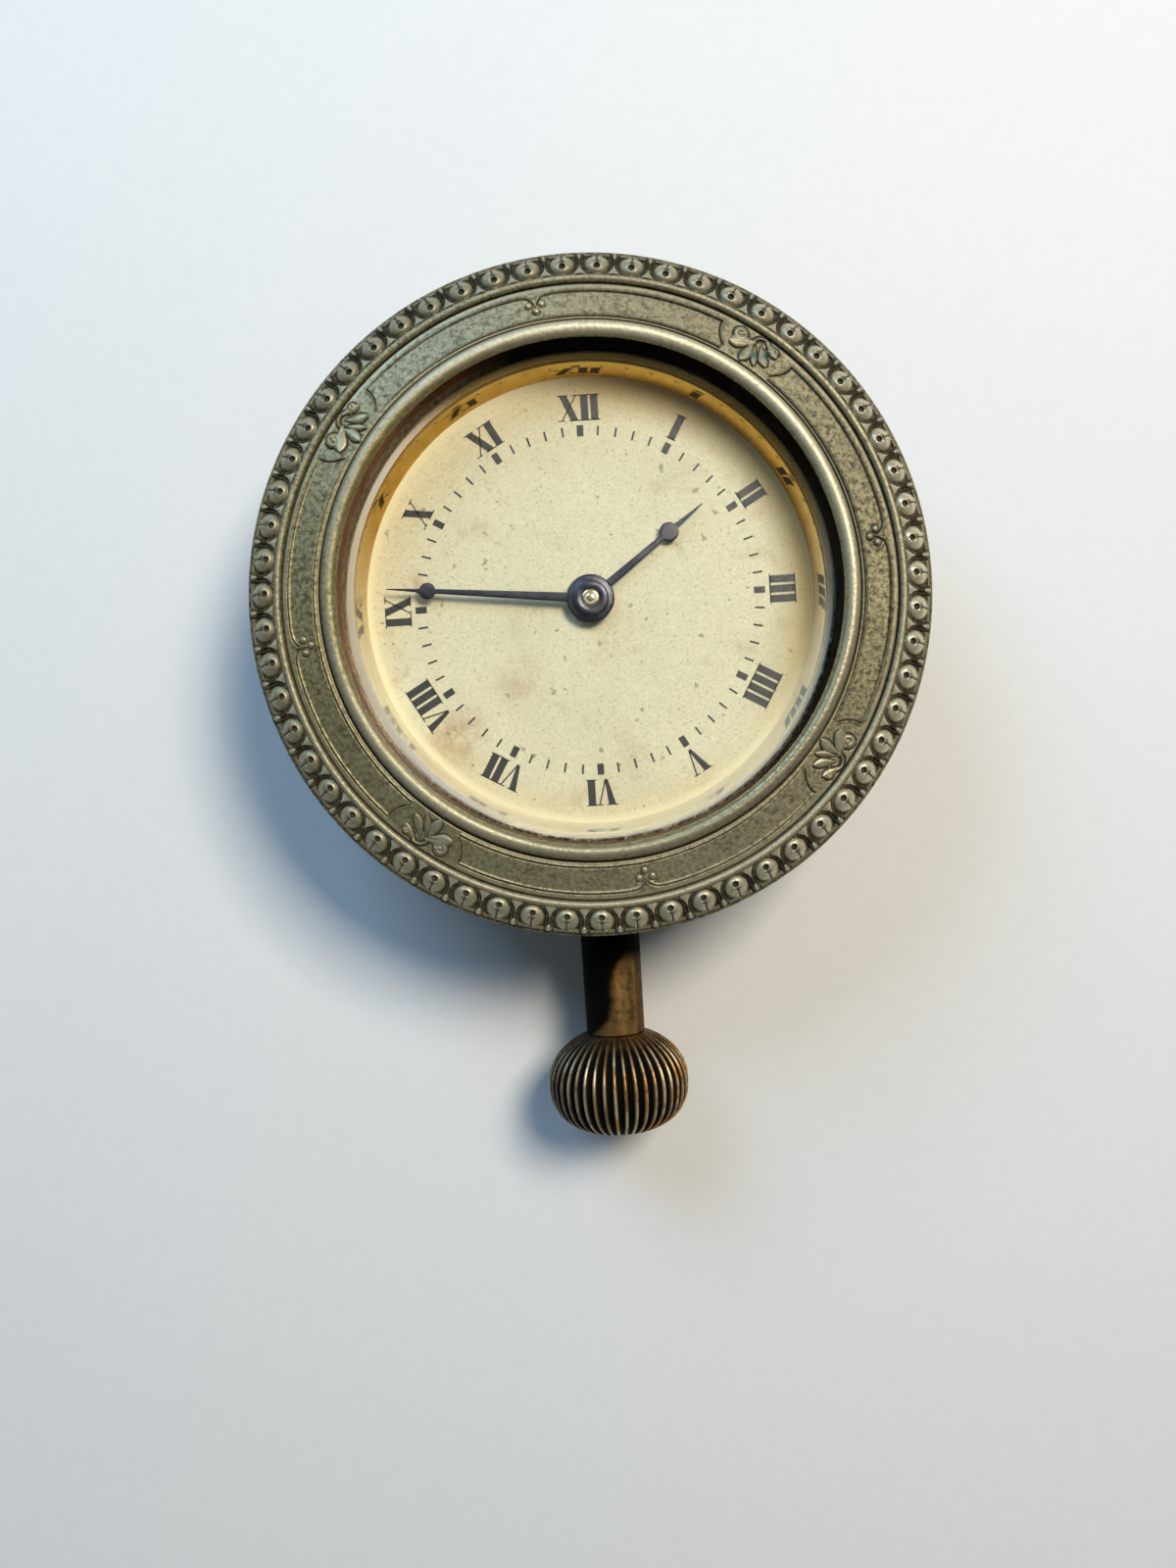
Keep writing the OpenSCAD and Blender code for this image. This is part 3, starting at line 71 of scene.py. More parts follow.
# Sizes shared with the CAD source
DIAL_Z = 22.1
SEAT_Z = 21.3
LIP_WALL_R = 32.4
LIP_R = 1.05
LIP_Z = 30.6
BAND_IN_R = 34.5
BAND_OUT_R = 39.8
BAND_LOW_Z = 29.6
BAND_HIGH_Z = 30.7
RING_R = 40.3
EGG_IN_R = 40.8
EGG_OUT_R = 44.05
EGG_MID_R = 42.42
BEZEL_R = 44.5
EGG_BED_Z = 29.4
RIM_Z = 27.7
EGG_COUNT = 59
GLASS_Z = 24.6
GLASS_SHOULDER_Z = 25.8
GLASS_TOP_Z = 26.7
STEM_Z = 11.4
KNOB_FROM = 60.4
KNOB_LEN = 13.4
OUTER_LINE_R = 38.68
INNER_LINE_R = 35.25
TREFOIL_AT = 97.5
SPRAY_AT = 52.5


# Meshes

def smoothstep(a, b, x):
    """Rises from 0 at a to 1 at b with level ends: 3t^2 - 2t^3."""
    t = np.clip((x - a) / (b - a), 0, 1)
    return t * t * (3 - 2 * t)


def piece_from_grid(name, points, wrap_u=True, sharp=40, merge=False, **attributes):
    """Mesh of a (u, v, xyz) grid in millimetres: a quad joins each four neighbours. The last column joins the
    first, and with wrap_u the last row joins the first too."""
    nu, nv = points.shape[:2]
    a, b = np.meshgrid(np.arange(nu if wrap_u else nu - 1), np.arange(nv), indexing="ij")
    a2, b2 = (a + 1) % nu, (b + 1) % nv
    quads = np.stack([a * nv + b, a2 * nv + b, a2 * nv + b2, a * nv + b2], -1).reshape(-1, 4)
    co = points.reshape(-1, 3) * MM
    return piece_from_faces(name, co, quads, sharp, merge, **attributes)


def piece_from_faces(name, co, quads, sharp=40, merge=False, **attributes):
    """Object of quads over points in metres, smooth below the sharp angle. Quads whose signed volume is
    negative are turned round, so that they face outwards."""
    p = co[quads]
    across = np.cross(p[:, 1], p[:, 2]) + np.cross(p[:, 2], p[:, 3])
    volume = np.einsum("ij,ij->i", p[:, 0], across).sum()
    if volume < 0:
        quads = quads[:, ::-1]
    mesh = bpy.data.meshes.new(name)
    mesh.from_pydata(co, [], quads)
    for key, values in attributes.items():
        layer = mesh.attributes.new(key, "FLOAT", "POINT")
        layer.data.foreach_set("value", np.ascontiguousarray(values, np.float32).ravel())
    if merge:
        work = bmesh.new()
        work.from_mesh(mesh)
        bmesh.ops.remove_doubles(work, verts=work.verts, dist=MERGE_WITHIN)
        bmesh.ops.dissolve_degenerate(work, edges=work.edges, dist=MERGE_WITHIN)
        work.to_mesh(mesh)
        work.free()
    mesh.shade_smooth()
    mesh.set_sharp_from_angle(angle=math.radians(sharp))
    mesh.update()
    obj = bpy.data.objects.new(name, mesh)
    bpy.context.scene.collection.objects.link(obj)
    return obj


def turned(r, z, angles):
    """Grid of a profile (r, z) carried round the dial's axis: (r cos a, r sin a, z)."""
    a = angles[:, None]
    return np.stack([r * np.cos(a), r * np.sin(a), np.broadcast_to(z, np.broadcast(r, a).shape)], -1)


def around(n):
    """Angles of n even steps round a circle, from 0."""
    return np.arange(n) * TAU / n


def revolved(name, profile, n=240, sharp=40, merge=False):
    """A closed profile of (r, z) points carried round the dial's axis."""
    r, z = np.array(profile, float).T
    return piece_from_grid(name, turned(r[None], z[None], around(n)), sharp=sharp, merge=merge)


def arc(cx, cy, r, a0, a1, n):
    """Points of a circle's arc from angle a0 to a1 in degrees."""
    a = np.radians(np.linspace(a0, a1, n))
    return list(zip(cx + r * np.cos(a), cy + r * np.sin(a)))


def dress(obj, body, slot, material, *replaced):
    """Gives a piece its finish and the body it rides on, and hides the CAD nodes it stands for. The slot
    argument is not used.
    """
    obj.data.materials.clear()
    obj.data.materials.append(material)
    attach(obj, body)
    if replaced:
        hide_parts(*replaced)


# Shader maths

class Value:
    """A shader output with arithmetic: each operator adds one Math node."""

    def __init__(self, shader, socket):
        self.shader = shader
        self.socket = socket

    def _math(self, operation, *values):
        return self.shader.node("ShaderNodeMath", {"operation": operation}, dict(enumerate(values)))

    def __add__(self, other):
        return self._math("ADD", self, other)

    def __sub__(self, other):
        return self._math("SUBTRACT", self, other)

    def __rsub__(self, other):
        return self._math("SUBTRACT", other, self)

    def __mul__(self, other):
        return self._math("MULTIPLY", self, other)

    def above(self, low, high):
        """0 below low, 1 over high, straight between."""
        return self.shader.node(
            "ShaderNodeMapRange", {"clamp": True}, {"Value": self, "From Min": low, "From Max": high}
        )

    def clipped(self):
        return self._math("MINIMUM", self._math("MAXIMUM", self, 0.0), 1.0)

    __radd__ = __add__
    __rmul__ = __mul__


class Finish:
    """One node material, drawn with Python expressions."""

    def __init__(self, name):
        self.material = bpy.data.materials.new(name)
        self.material.use_nodes = True
        self.tree = self.material.node_tree
        self.tree.nodes.clear()
        self.out = self.tree.nodes.new("ShaderNodeOutputMaterial")

    def node(self, kind, settings=None, inputs=None, output=0):
        """A node of that type, its settings set first and then its inputs: numbers, colours or outputs."""
        n = self.tree.nodes.new(kind)
        for key, value in (settings or {}).items():
            setattr(n, key, value)
        for key, value in (inputs or {}).items():
            if isinstance(value, Value):
                self.tree.links.new(value.socket, n.inputs[key])
            else:
                n.inputs[key].default_value = value
        return Value(self, n.outputs[output])

    def place(self):
        return self.node("ShaderNodeTexCoord", output="Object")

    def attribute(self, name):
        return self.node("ShaderNodeAttribute", {"attribute_name": name}, output="Fac")

    def noise(self, scale, detail=3.0, roughness=0.55, at=None, distortion=0.0):
        """Noise about `scale` waves to the millimetre."""
        return self.node(
            "ShaderNodeTexNoise",
            None,
            {
                "Vector": at or self.place(),
                "Scale": scale * MM_PER_METRE,
                "Detail": detail,
                "Roughness": roughness,
                "Distortion": distortion,
            },
            output="Fac",
        )

    def mix(self, fac, a, b):
        """Colour a where fac is 0, b where it is 1."""
        a, b = [c if isinstance(c, Value) else (*c, 1) for c in (a, b)]
        return self.node("ShaderNodeMix", {"data_type": "RGBA"}, {0: fac, 6: a, 7: b}, output=2)

    def blend(self, fac, a, b):
        """Shader a where fac is 0, b where it is 1."""
        return self.node("ShaderNodeMixShader", None, {0: fac, 1: a, 2: b})

    def bump(self, height, strength, distance):
        """Normal of a bumpy surface whose bumps are up to `distance` millimetres high."""
        inputs = {"Height": height, "Strength": strength, "Distance": distance * MM}
        return self.node("ShaderNodeBump", None, inputs, output="Normal")

    def surface(self, **inputs):
        """A Principled shader, with Base Color and the other sockets by name."""
        named = {key.replace("_", " "): value for key, value in inputs.items()}
        for key, value in named.items():
            if isinstance(value, tuple) and len(value) == 3:
                named[key] = (*value, 1)
        return self.node("ShaderNodeBsdfPrincipled", None, named)

    def end(self, shader):
        self.tree.links.new(shader.socket, self.out.inputs["Surface"])
        return self.material


def srgb(*values):
    """Linear colour of 0 to 255 display values."""
    c = np.array(values) / 255
    return tuple(float(x) for x in np.where(c <= 0.04045, c / 12.92, ((c + 0.055) / 1.055) ** 2.4))


# Finishes

def bezel_finish():
    """Antique bronze: olive-brown patina with dark pits, black in the cavities, rubbed bright on the crests,
    browned and green where its rust and verdigris attributes are high. Where the strips vary relief and wear
    round the bezel, the black is also painted shade and the rubbed brightness also painted light."""
    f = Finish("antique_bronze")
    relief = f.attribute("relief")
    wear = f.attribute("wear")
    cloud = f.noise(0.09, 4, 0.6).above(0.35, 0.65)
    grain = f.noise(1.8, 3, 0.65).above(0.42, 0.58)
    pits = f.noise(1.5, 4, 0.7).above(0.52, 0.62)
    base = f.mix(cloud, srgb(146, 141, 112), srgb(160, 150, 116))
    base = f.mix(grain * (1 - wear * 0.7) * 0.75, base, srgb(96, 90, 64))
    base = f.mix(pits * (1 - wear * 0.7) * 0.75, base, srgb(58, 50, 32))
    spots = f.noise(0.9, 3, 0.6).above(0.58, 0.66)
    base = f.mix(spots * (1 - wear) * 0.6, base, srgb(50, 43, 27))
    base = f.mix((wear * (0.6 + grain * 0.35)).clipped(), base, srgb(238, 228, 198))
    # Black in hollows is patina; where the strips vary relief round the bezel it is painted shade.
    cavity_and_painted_shade = (0 - relief).above(0.08, 0.85)
    base = f.mix(cavity_and_painted_shade * 0.9, base, srgb(24, 21, 15))
    rust = f.attribute("rust") * f.noise(0.6, 3, 0.6).above(0.3, 0.6)
    base = f.mix(rust * 0.85, base, srgb(130, 117, 56))
    green = f.attribute("verdigris") * f.noise(0.5, 3).above(0.25, 0.45)
    base = f.mix(green * 0.9, base, srgb(18, 92, 88))
    rough = 0.48 - f.attribute("gloss") * 0.22 + pits * 0.1 + cavity_and_painted_shade * 0.3
    height = grain * 0.5 - pits * 0.6
    normal = f.bump(height, 0.35, 0.05)
    return f.end(
        f.surface(Base_Color=base, Metallic=0.55 - cavity_and_painted_shade * 0.45, Roughness=rough, Normal=normal)
    )


def wall_finish():
    """Inner wall under the lip: the same bronze gone copper red, dusty at its foot and painted black round
    its upper right as shade.
    """
    f = Finish("reddened_bronze")
    blotch = f.noise(0.35, 4, 0.6).above(0.35, 0.7)
    grain = f.noise(2.2, 3, 0.6).above(0.35, 0.7)
    base = f.mix(blotch, srgb(136, 72, 26), srgb(76, 40, 15))
    base = f.mix(grain * 0.5, base, srgb(58, 28, 12))
    dust = f.attribute("dust") * f.noise(1.1, 3, 0.6).above(0.4, 0.5)
    base = f.mix(dust, base, f.mix(grain, srgb(150, 144, 118), srgb(70, 66, 52)))
    # Painted shade: the wall goes black round its upper right.
    soot = f.attribute("soot")
    base = f.mix(soot, base, srgb(5, 5, 5))
    return f.end(f.surface(
        Base_Color=base, Metallic=0.35 - soot * 0.35, Roughness=0.42 + soot * 0.4,
        Normal=f.bump(grain, 0.2, 0.03), Specular_IOR_Level=0.03,
    ))


def case_finish():
    """Dull aged brass of the case behind the bezel."""
    f = Finish("aged_brass")
    cloud = f.noise(0.12, 4, 0.6).above(0.3, 0.7)
    pits = f.noise(1.1, 4, 0.65).above(0.58, 0.7)
    base = f.mix(cloud, srgb(126, 112, 82), srgb(96, 84, 62))
    base = f.mix(pits * 0.7, base, srgb(46, 40, 31))
    rough = 0.4 + pits * 0.25
    normal = f.bump(pits, 0.25, 0.03)
    return f.end(f.surface(Base_Color=base, Metallic=0.85, Roughness=rough, Normal=normal))


def stem_finish():
    """Dark brown patina of the tube and knob, streaked along the stem and rubbed to copper or silver grey."""
    f = Finish("brown_bronze")
    relief = f.attribute("relief")
    wear = f.attribute("wear")
    cloud = f.noise(0.22, 4, 0.6).above(0.35, 0.65)
    drawn_out = f.node("ShaderNodeMapping", None, {"Vector": f.place(), "Scale": (1.0, 0.25, 1.0)})
    streak = f.noise(0.8, 3, 0.6, at=drawn_out).above(0.3, 0.7)
    base = f.mix(cloud, srgb(44, 38, 30), srgb(24, 21, 17))
    tone = f.noise(0.45, 3, 0.6).above(0.4, 0.62)
    rubbed = f.mix(tone * wear.above(0.45, 0.8), srgb(204, 154, 88), srgb(228, 212, 178))
    rubbed = f.mix(f.attribute("silver"), rubbed, srgb(178, 174, 160))
    rubbed = f.mix(f.noise(0.7, 3, 0.6).above(0.5, 0.62) * 0.5, rubbed, srgb(78, 58, 38))
    base = f.mix((wear * (0.7 + streak * 0.5)).clipped(), base, rubbed)
    # Black in the knob's grooves is patina; on the tube near the bezel it is the bezel's painted shadow.
    cavity_and_painted_shade = (0 - relief).above(0.05, 0.8)
    base = f.mix(cavity_and_painted_shade * 0.95, base, srgb(9, 8, 8))
    rough = 0.3 + streak * 0.14 + cavity_and_painted_shade * 0.35
    return f.end(f.surface(
        Base_Color=base, Metallic=0.7 - cavity_and_painted_shade * 0.6, Roughness=rough, Specular_IOR_Level=0.04
    ))


# Each stain on the dial: x, y and reach in metres, and strength
STAINS = (
    (-0.0191, -0.0172, 0.0055, 0.75),
    (-0.0102, -0.0101, 0.005, 0.22),
    (-0.023, 0.0035, 0.0022, 0.5),
)


def dial_finish():
    """Aged cream paint: fine speckle, foxed stains, a brighter worn edge, and brown-gold painted shade along
    its edge where its edge-shade attribute is high.
    """
    f = Finish("cream_dial")
    speck = f.noise(3.2, 2, 0.6).above(0.6, 0.72)
    fine = f.noise(2.6, 3, 0.6).above(0.32, 0.68)
    stain = f.noise(0.16, 5, 0.62, distortion=0.6).above(0.56, 0.74)
    # A cloud of slightly darker cream paint on the dial.
    soot = f.noise(0.075, 4, 0.6).above(0.42, 0.68)
    spots = f.noise(0.62, 2, 0.5).above(0.69, 0.74)
    base = f.mix(fine * 0.5, srgb(248, 239, 204), srgb(214, 203, 166))
    base = f.mix(soot * 0.3, base, srgb(214, 206, 170))
    base = f.mix(stain * 0.35, base, srgb(190, 160, 110))
    base = f.mix(speck * 0.5, base, srgb(128, 112, 84))
    base = f.mix(spots * 0.55, base, srgb(96, 78, 52))
    for x, y, reach, strength in STAINS:
        ends = {0: f.place(), 1: (x, y, DIAL_Z * MM)}
        away = f.node("ShaderNodeVectorMath", {"operation": "DISTANCE"}, ends, "Value")
        blot = (1 - away.above(0.0, reach)) * f.noise(0.35, 4, 0.65).above(0.35, 0.6)
        base = f.mix(blot * strength, base, srgb(178, 124, 62))
    base = f.mix(f.attribute("wear") * 0.8, base, srgb(250, 240, 202))
    # Painted shade: the dial's edge goes brown-gold at the upper right and a little at the bottom.
    base = f.mix(f.attribute("gloom"), base, srgb(168, 128, 34))
    return f.end(f.surface(Base_Color=base, Roughness=0.62 + fine * 0.12, Normal=f.bump(fine, 0.08, 0.02)))


def ink_finish():
    """Black transfer ink of the figures, thinned in places."""
    f = Finish("dial_ink")
    thin = f.noise(2.4, 3, 0.6).above(0.5, 0.72)
    base = f.mix(thin * 0.35, srgb(22, 20, 19), srgb(80, 73, 61))
    return f.end(f.surface(Base_Color=base, Roughness=0.55 + thin * 0.2))


def hand_finish():
    """Dark blued steel, faintly mottled."""
    f = Finish("blued_hands")
    cloud = f.noise(0.5, 4, 0.6).above(0.35, 0.65)
    base = f.mix(cloud, srgb(48, 50, 60), srgb(64, 62, 66))
    return f.end(f.surface(Base_Color=base, Metallic=0.9, Roughness=0.3 + cloud * 0.14))


def gilt_finish(name, colour, shade, rough, worn):
    """Polished gilt with faint tarnish. With the worn flag set, its pale attribute makes it paler and less
    metallic as a painted reflection."""
    f = Finish(name)
    cloud = f.noise(0.3, 4, 0.6).above(0.45, 0.75)
    base = f.mix(cloud * 0.6, colour, shade)
    metallic = 1.0
    # Painted reflection: where pale is high the ring is paler and less metallic; the worn flag only turns
    # this on.
    if worn:
        pale = f.attribute("pale")
        base = f.mix(pale, base, srgb(238, 230, 210))
        metallic = 1 - pale * 0.35
    return f.end(f.surface(Base_Color=base, Metallic=metallic, Roughness=rough + cloud * 0.12))


def glass_finish():
    """Clear glass that lets lamp light and the dial's own scattered light straight through.
    The bevel is painted matt white round the left as a painted highlight, and dirt has gathered along its
    lower edge."""
    f = Finish("clear_glass")
    haze = f.noise(0.05, 3, 0.6).above(0.5, 0.9)
    rough = haze * 0.02 + f.attribute("bevel") * 0.45
    glass = f.surface(Base_Color=(1.0, 1.0, 1.0), Roughness=rough, Transmission_Weight=1.0, IOR=1.5)
    clear = f.node("ShaderNodeBsdfTransparent", None, {"Color": (0.97, 0.98, 0.97, 1)})
    shadow_ray = f.node("ShaderNodeLightPath", output="Is Shadow Ray")
    diffuse_ray = f.node("ShaderNodeLightPath", output="Is Diffuse Ray")
    clear_glass = f.blend(shadow_ray + diffuse_ray, glass, clear)
    # Painted highlight: a matt white surface for the bright bevel.
    ground = f.surface(Base_Color=srgb(255, 252, 240), Roughness=0.5)
    part_ground = f.blend(f.attribute("ground"), clear_glass, ground)
    crumbs = f.noise(1.6, 3, 0.6).above(0.4, 0.6)
    dirt = f.surface(Base_Color=f.mix(crumbs, srgb(60, 50, 36), srgb(128, 116, 88)), Roughness=0.9)
    covered = f.attribute("grime") * f.noise(0.7, 3, 0.6).above(0.2, 0.45)
    return f.end(f.blend(covered, part_ground, dirt))


def metal_finish(name, light, dark, metallic, rough, scale):
    """Plain metal or stone of the movement with fine grain in colour and gloss."""
    f = Finish(name)
    grain = f.noise(scale, 4, 0.6).above(0.3, 0.7)
    base = f.mix(grain, light, dark)
    return f.end(f.surface(Base_Color=base, Metallic=metallic, Roughness=rough + grain * 0.12))


BRONZE = bezel_finish()
WALL = wall_finish()
CASE = case_finish()
STEM = stem_finish()
DIAL = dial_finish()
INK = ink_finish()
HANDS = hand_finish()
GILT = gilt_finish("polished_gilt", srgb(196, 158, 76), srgb(164, 122, 46), 0.04, True)
CAP = gilt_finish("brass_cap", srgb(214, 196, 150), srgb(160, 132, 84), 0.2, False)
GLASS = glass_finish()
SLOT_FINISHES = {
    "bezel_bronze": BRONZE,
    "case_brass": CASE,
    "stem_bronze": STEM,
    "glass": GLASS,
    "gilt": GILT,
    "dial_paint": DIAL,
    "hand_steel": HANDS,
    "movement_brass": metal_finish("gilded_brass", srgb(214, 184, 110), srgb(186, 150, 82), 1.0, 0.28, 1.5),
    "nickel_plate": metal_finish("nickel_plate", srgb(206, 202, 190), srgb(176, 172, 160), 1.0, 0.25, 0.6),
    "steel": metal_finish("polished_steel", srgb(186, 188, 194), srgb(150, 152, 160), 1.0, 0.24, 1.0),
    "blued_steel": metal_finish("heat_blued_steel", srgb(44, 60, 120), srgb(30, 38, 82), 1.0, 0.25, 0.8),
    "ruby": metal_finish("ruby_stone", srgb(176, 30, 70), srgb(140, 16, 50), 0.0, 0.12, 0.9),
}
for part in frame["record"]["subparts"]:
    held = nodes[part["node"]]
    held.data.materials.clear()
    held.data.materials.append(SLOT_FINISHES[part["material_slot"]])


# Bezel body: lip, half-round moulding, outer wall and hollow back

HAIR = 0.01
EDGE_EASE = 0.12
RING_HALF = 0.5
RING_SUNK = 0.05
BAND_BED_IN_Z = 30.1
BAND_BED_OUT_Z = 29.1
EGG_BED_IN_Z = 28.4
EGG_BED_OUT_Z = 26.6
HOLLOW_R = 43.0
HOLLOW_TOP_Z = 26.3
NECK_R = 35.25
NECK_END_Z = 22.5
CASE_SEAT_R = 33.75
CASE_SEAT_Z = 24.5
GLASS_SEAT_R = 33.45
AROUND_COUNT = 360

# Wear round the bezel at every eighth of a turn, anticlockwise from three o'clock. The rubbed values are
# partly wear and partly painted light: the lip brighter towards the top, the moulding brighter round the
# bottom as a painted highlight.
EIGHTHS = np.arange(0, 361, 45)
LIP_RUBBED_AND_PAINTED_LIGHT = [0.55, 0.75, 0.95, 0.45, 0.15, 0.45, 0.35, 0.2, 0.55]
LIP_BROWNED = [0.2, 0, 0, 0.9, 0.9, 0.2, 0.3, 0.7, 0.2]
RING_RUBBED_AND_PAINTED_HIGHLIGHT = [0.8, 0.7, 0.7, 0.25, 0.6, 1.1, 1.4, 1.2, 0.8]
LIP_SHINE_AT = 300
# Painted shade on the wall inside the lip, at degrees from three o'clock: black round the upper right.
PAINTED_SHADE_AT = [-180, -70, -45, 105, 125, 140]
PAINTED_SHADE = [0, 0.1, 0.9, 1, 0.4, 0]


def facing(angle, degrees):
    """1 where an angle in radians points to these degrees and -1 opposite: cos(angle - degrees)."""
    return np.cos(angle - math.radians(degrees))


def by_eighths(angle, values):
    """Values given at every eighth of a turn, read off at the angles in radians."""
    return np.interp(np.degrees(angle), EIGHTHS, values)[:, None]


def bezel_body():
    """The bezel's section, closed, with the lip and the moulding as arcs. The ornament strips lie over its
    lowered bed."""
    lip = arc(LIP_WALL_R + LIP_R, LIP_Z, LIP_R, 180, 0, 25)
    ring = arc(RING_R, BAND_LOW_Z - RING_SUNK, RING_HALF, 180, 0, 15)
    ledge_r = EGG_OUT_R + 0.05
    profile = [
        (LIP_WALL_R, 27.4), (LIP_WALL_R, 29.4),
        *lip,
        (BAND_IN_R, BAND_BED_IN_Z), (BAND_OUT_R, BAND_BED_OUT_Z),
        *ring,
        (EGG_IN_R, EGG_BED_IN_Z), (EGG_OUT_R - 0.2, EGG_BED_OUT_Z),
        (EGG_OUT_R, RIM_Z - 0.2), (ledge_r, RIM_Z),
        (BEZEL_R - EDGE_EASE, RIM_Z), (BEZEL_R, RIM_Z - EDGE_EASE),
        (BEZEL_R, 24.5), (BEZEL_R, SEAT_Z + 0.1), (BEZEL_R - 0.1, SEAT_Z),
        (HOLLOW_R, SEAT_Z), (HOLLOW_R, HOLLOW_TOP_Z),
        (NECK_R, HOLLOW_TOP_Z), (NECK_R, NECK_END_Z),
        (CASE_SEAT_R, NECK_END_Z), (CASE_SEAT_R, CASE_SEAT_Z), (GLASS_SEAT_R, CASE_SEAT_Z),
        (GLASS_SEAT_R, GLASS_SHOULDER_Z + HAIR), (LIP_WALL_R, GLASS_SHOULDER_Z + HAIR),
    ]
    r, z = np.array(profile).T
    a = around(AROUND_COUNT)
    on_lip = (r <= BAND_IN_R + HAIR) & (z >= LIP_Z - HAIR)
    on_ring = (np.abs(r - RING_R) <= RING_HALF + HAIR) & (z > BAND_LOW_Z - RING_SUNK - HAIR)
    in_rows = (r > BAND_IN_R - HAIR) & (r < ledge_r + HAIR) & (z > HOLLOW_TOP_Z + HAIR)
    on_bed = in_rows & ~on_ring & ~on_lip
    lip_crest = np.clip((z - LIP_Z) / LIP_R, 0, 1) ** 1.3 * on_lip
    ring_crest = 0.25 * np.clip((z - BAND_LOW_Z + 0.1) / RING_HALF, 0, 1) * on_ring
    inner = on_lip * smoothstep(LIP_WALL_R + 1.2, LIP_WALL_R + 0.3, r)
    rust = by_eighths(a, LIP_BROWNED) * inner
    # Partly wear and partly painted light on the lip's and the moulding's crests.
    wear = by_eighths(a, LIP_RUBBED_AND_PAINTED_LIGHT) * lip_crest * (1 - 0.5 * rust)
    wear = wear + by_eighths(a, RING_RUBBED_AND_PAINTED_HIGHLIGHT) * ring_crest
    gloss = 0.7 * smoothstep(0.2, 0.8, facing(a, LIP_SHINE_AT))[:, None] * on_lip
    relief = np.ones((len(a), 1)) * np.where(on_bed, -1.0, 0.0)
    grid = turned(r[None], z[None], a)
    return piece_from_grid("bezel_body", grid, sharp=50, relief=relief, wear=wear, rust=rust, gloss=gloss)


def wall_skin():
    """Thin sleeve on the wall inside the lip, a hair proud of it, painted black round its upper right as
    shade and dusty at its foot."""
    top = 30.55
    foot = GLASS_SHOULDER_Z + 0.02
    proud = LIP_WALL_R - 0.05
    sunk = LIP_WALL_R + 0.02
    r, z, dusty = np.array([
        (proud + HAIR, top, 0), (proud, 28.6, 0), (proud, 27.9, 1),
        (proud, foot, 1), (sunk, foot, 1), (sunk, top, 0),
    ]).T
    a = around(AROUND_COUNT)
    degrees = (np.degrees(a) + 180) % 360 - 180
    soot = np.interp(degrees, PAINTED_SHADE_AT, PAINTED_SHADE)[:, None] * np.ones((1, len(r)))
    dust = np.ones((len(a), 1)) * dusty
    return piece_from_grid("bezel_wall", turned(r[None], z[None], a), soot=soot, dust=dust)


# Ornament band and egg-and-dart row

# Places on the band are u along it and v inwards from its outer line
# Each lobe: root, tip, half width, bow and rise; each scroll and the stem's arc: middle and radius
LOBES = (
    ((0.1, 0.5), (3.35, 2.1), 0.95, -0.1, 0.46),
    ((0.45, 0.7), (0.75, 3.75), 0.74, 0.15, 0.48),
    ((0.1, 0.7), (-1.3, 3.35), 0.46, -0.1, 0.42),
    ((-0.5, 0.3), (-2.7, 2.55), 0.66, -0.2, 0.46),
    ((-0.8, -0.35), (-3.05, 0.7), 0.62, 0.1, 0.44),
)
SCROLLS = ((2.45, 0.45, 0.98), (-2.4, 0.1, 0.6))
STEM_ARC = (-0.6, 0.55, 1.1)
GREEN_SPOTS = ((-1.83, 1.35), (-0.52, 2.1), (0.9, 2.8))
GREEN_FROM = 40
GREEN_TO = 60
TREFOIL_BALLS = ((-0.88, 1.38), (0.88, 1.38), (0.0, 2.3))
BALL_R = 0.5
TREFOIL_ARC_R = 38.2
SPRAY_ARC_R = 37.5
SPRAY_SPAN = 8.8
TREFOIL_SPAN = 4.0
OUTER_LINE_STOP = 5.25
INNER_LINE_STOP = 3.9
PANEL_DEPTH = 3.0
BEAD_HALF = 0.13
CUT_HALF = 0.09
KEY_AT = 50
EGG_SQUEEZE = 0.88
EGG_R = 1.5
EGG_RISE = 1.35
EYE_BACK = 0.46
CUP_IN_R = 1.53
CUP_OUT_R = 1.88


def line(d, width):
    """Bell of height 1 over a distance d from a line."""
    return np.exp(-(d / width) ** 2)


def leaf(u, v, root, tip, width, bow, rise):
    """Height of one lobe: a dome along a bowed spine from root to tip, widest past its middle, with a sunk
    vein."""
    root, tip = np.array(root), np.array(tip)
    along = tip - root
    length = np.hypot(*along)
    along = along / length
    s = ((u - root[0]) * along[0] + (v - root[1]) * along[1]) / length
    t = np.clip(s, 0, 1)
    off = -(u - root[0]) * along[1] + (v - root[1]) * along[0] - bow * np.sin(np.pi * t)
    half = width * (0.14 + 0.86 * np.sin(np.pi * t ** 1.6) ** 0.7) + 1e-6
    q = np.clip(1 - (off / half) ** 2, 0, 1)
    vein = 0.3 * line(off - 0.12, 0.1) * (1 - t)
    return np.where((s > 0) & (s < 1), rise * np.sqrt(q) * (1 - vein) * (0.4 + 0.6 * t), 0)


def spray(u, v, grow):
    """Leaf spray: five lobes, two rolled heads and a bowed stem, all grown by the same amount."""
    parts = [leaf(u, v, root, tip, width + grow, bow, rise) for root, tip, width, bow, rise in LOBES]
    for cu, cv, size in SCROLLS:
        d = np.hypot(u - cu, v - cv) / (size + grow)
        roll = line(d - 0.3 - 0.12 * np.arctan2(v - cv, u - cu) / np.pi * 2, 0.13) * (d < 0.75)
        parts.append(0.5 * np.sqrt(np.clip(1 - d ** 2, 0, None)) * (1 - 0.6 * roll))
    cu, cv, size = STEM_ARC
    parts.append(0.26 * np.clip(line(np.hypot(u - cu, v - cv) - size, 0.16 + grow) - 0.1, 0, 1) * (v < 0.6))
    return np.max(parts, axis=0)


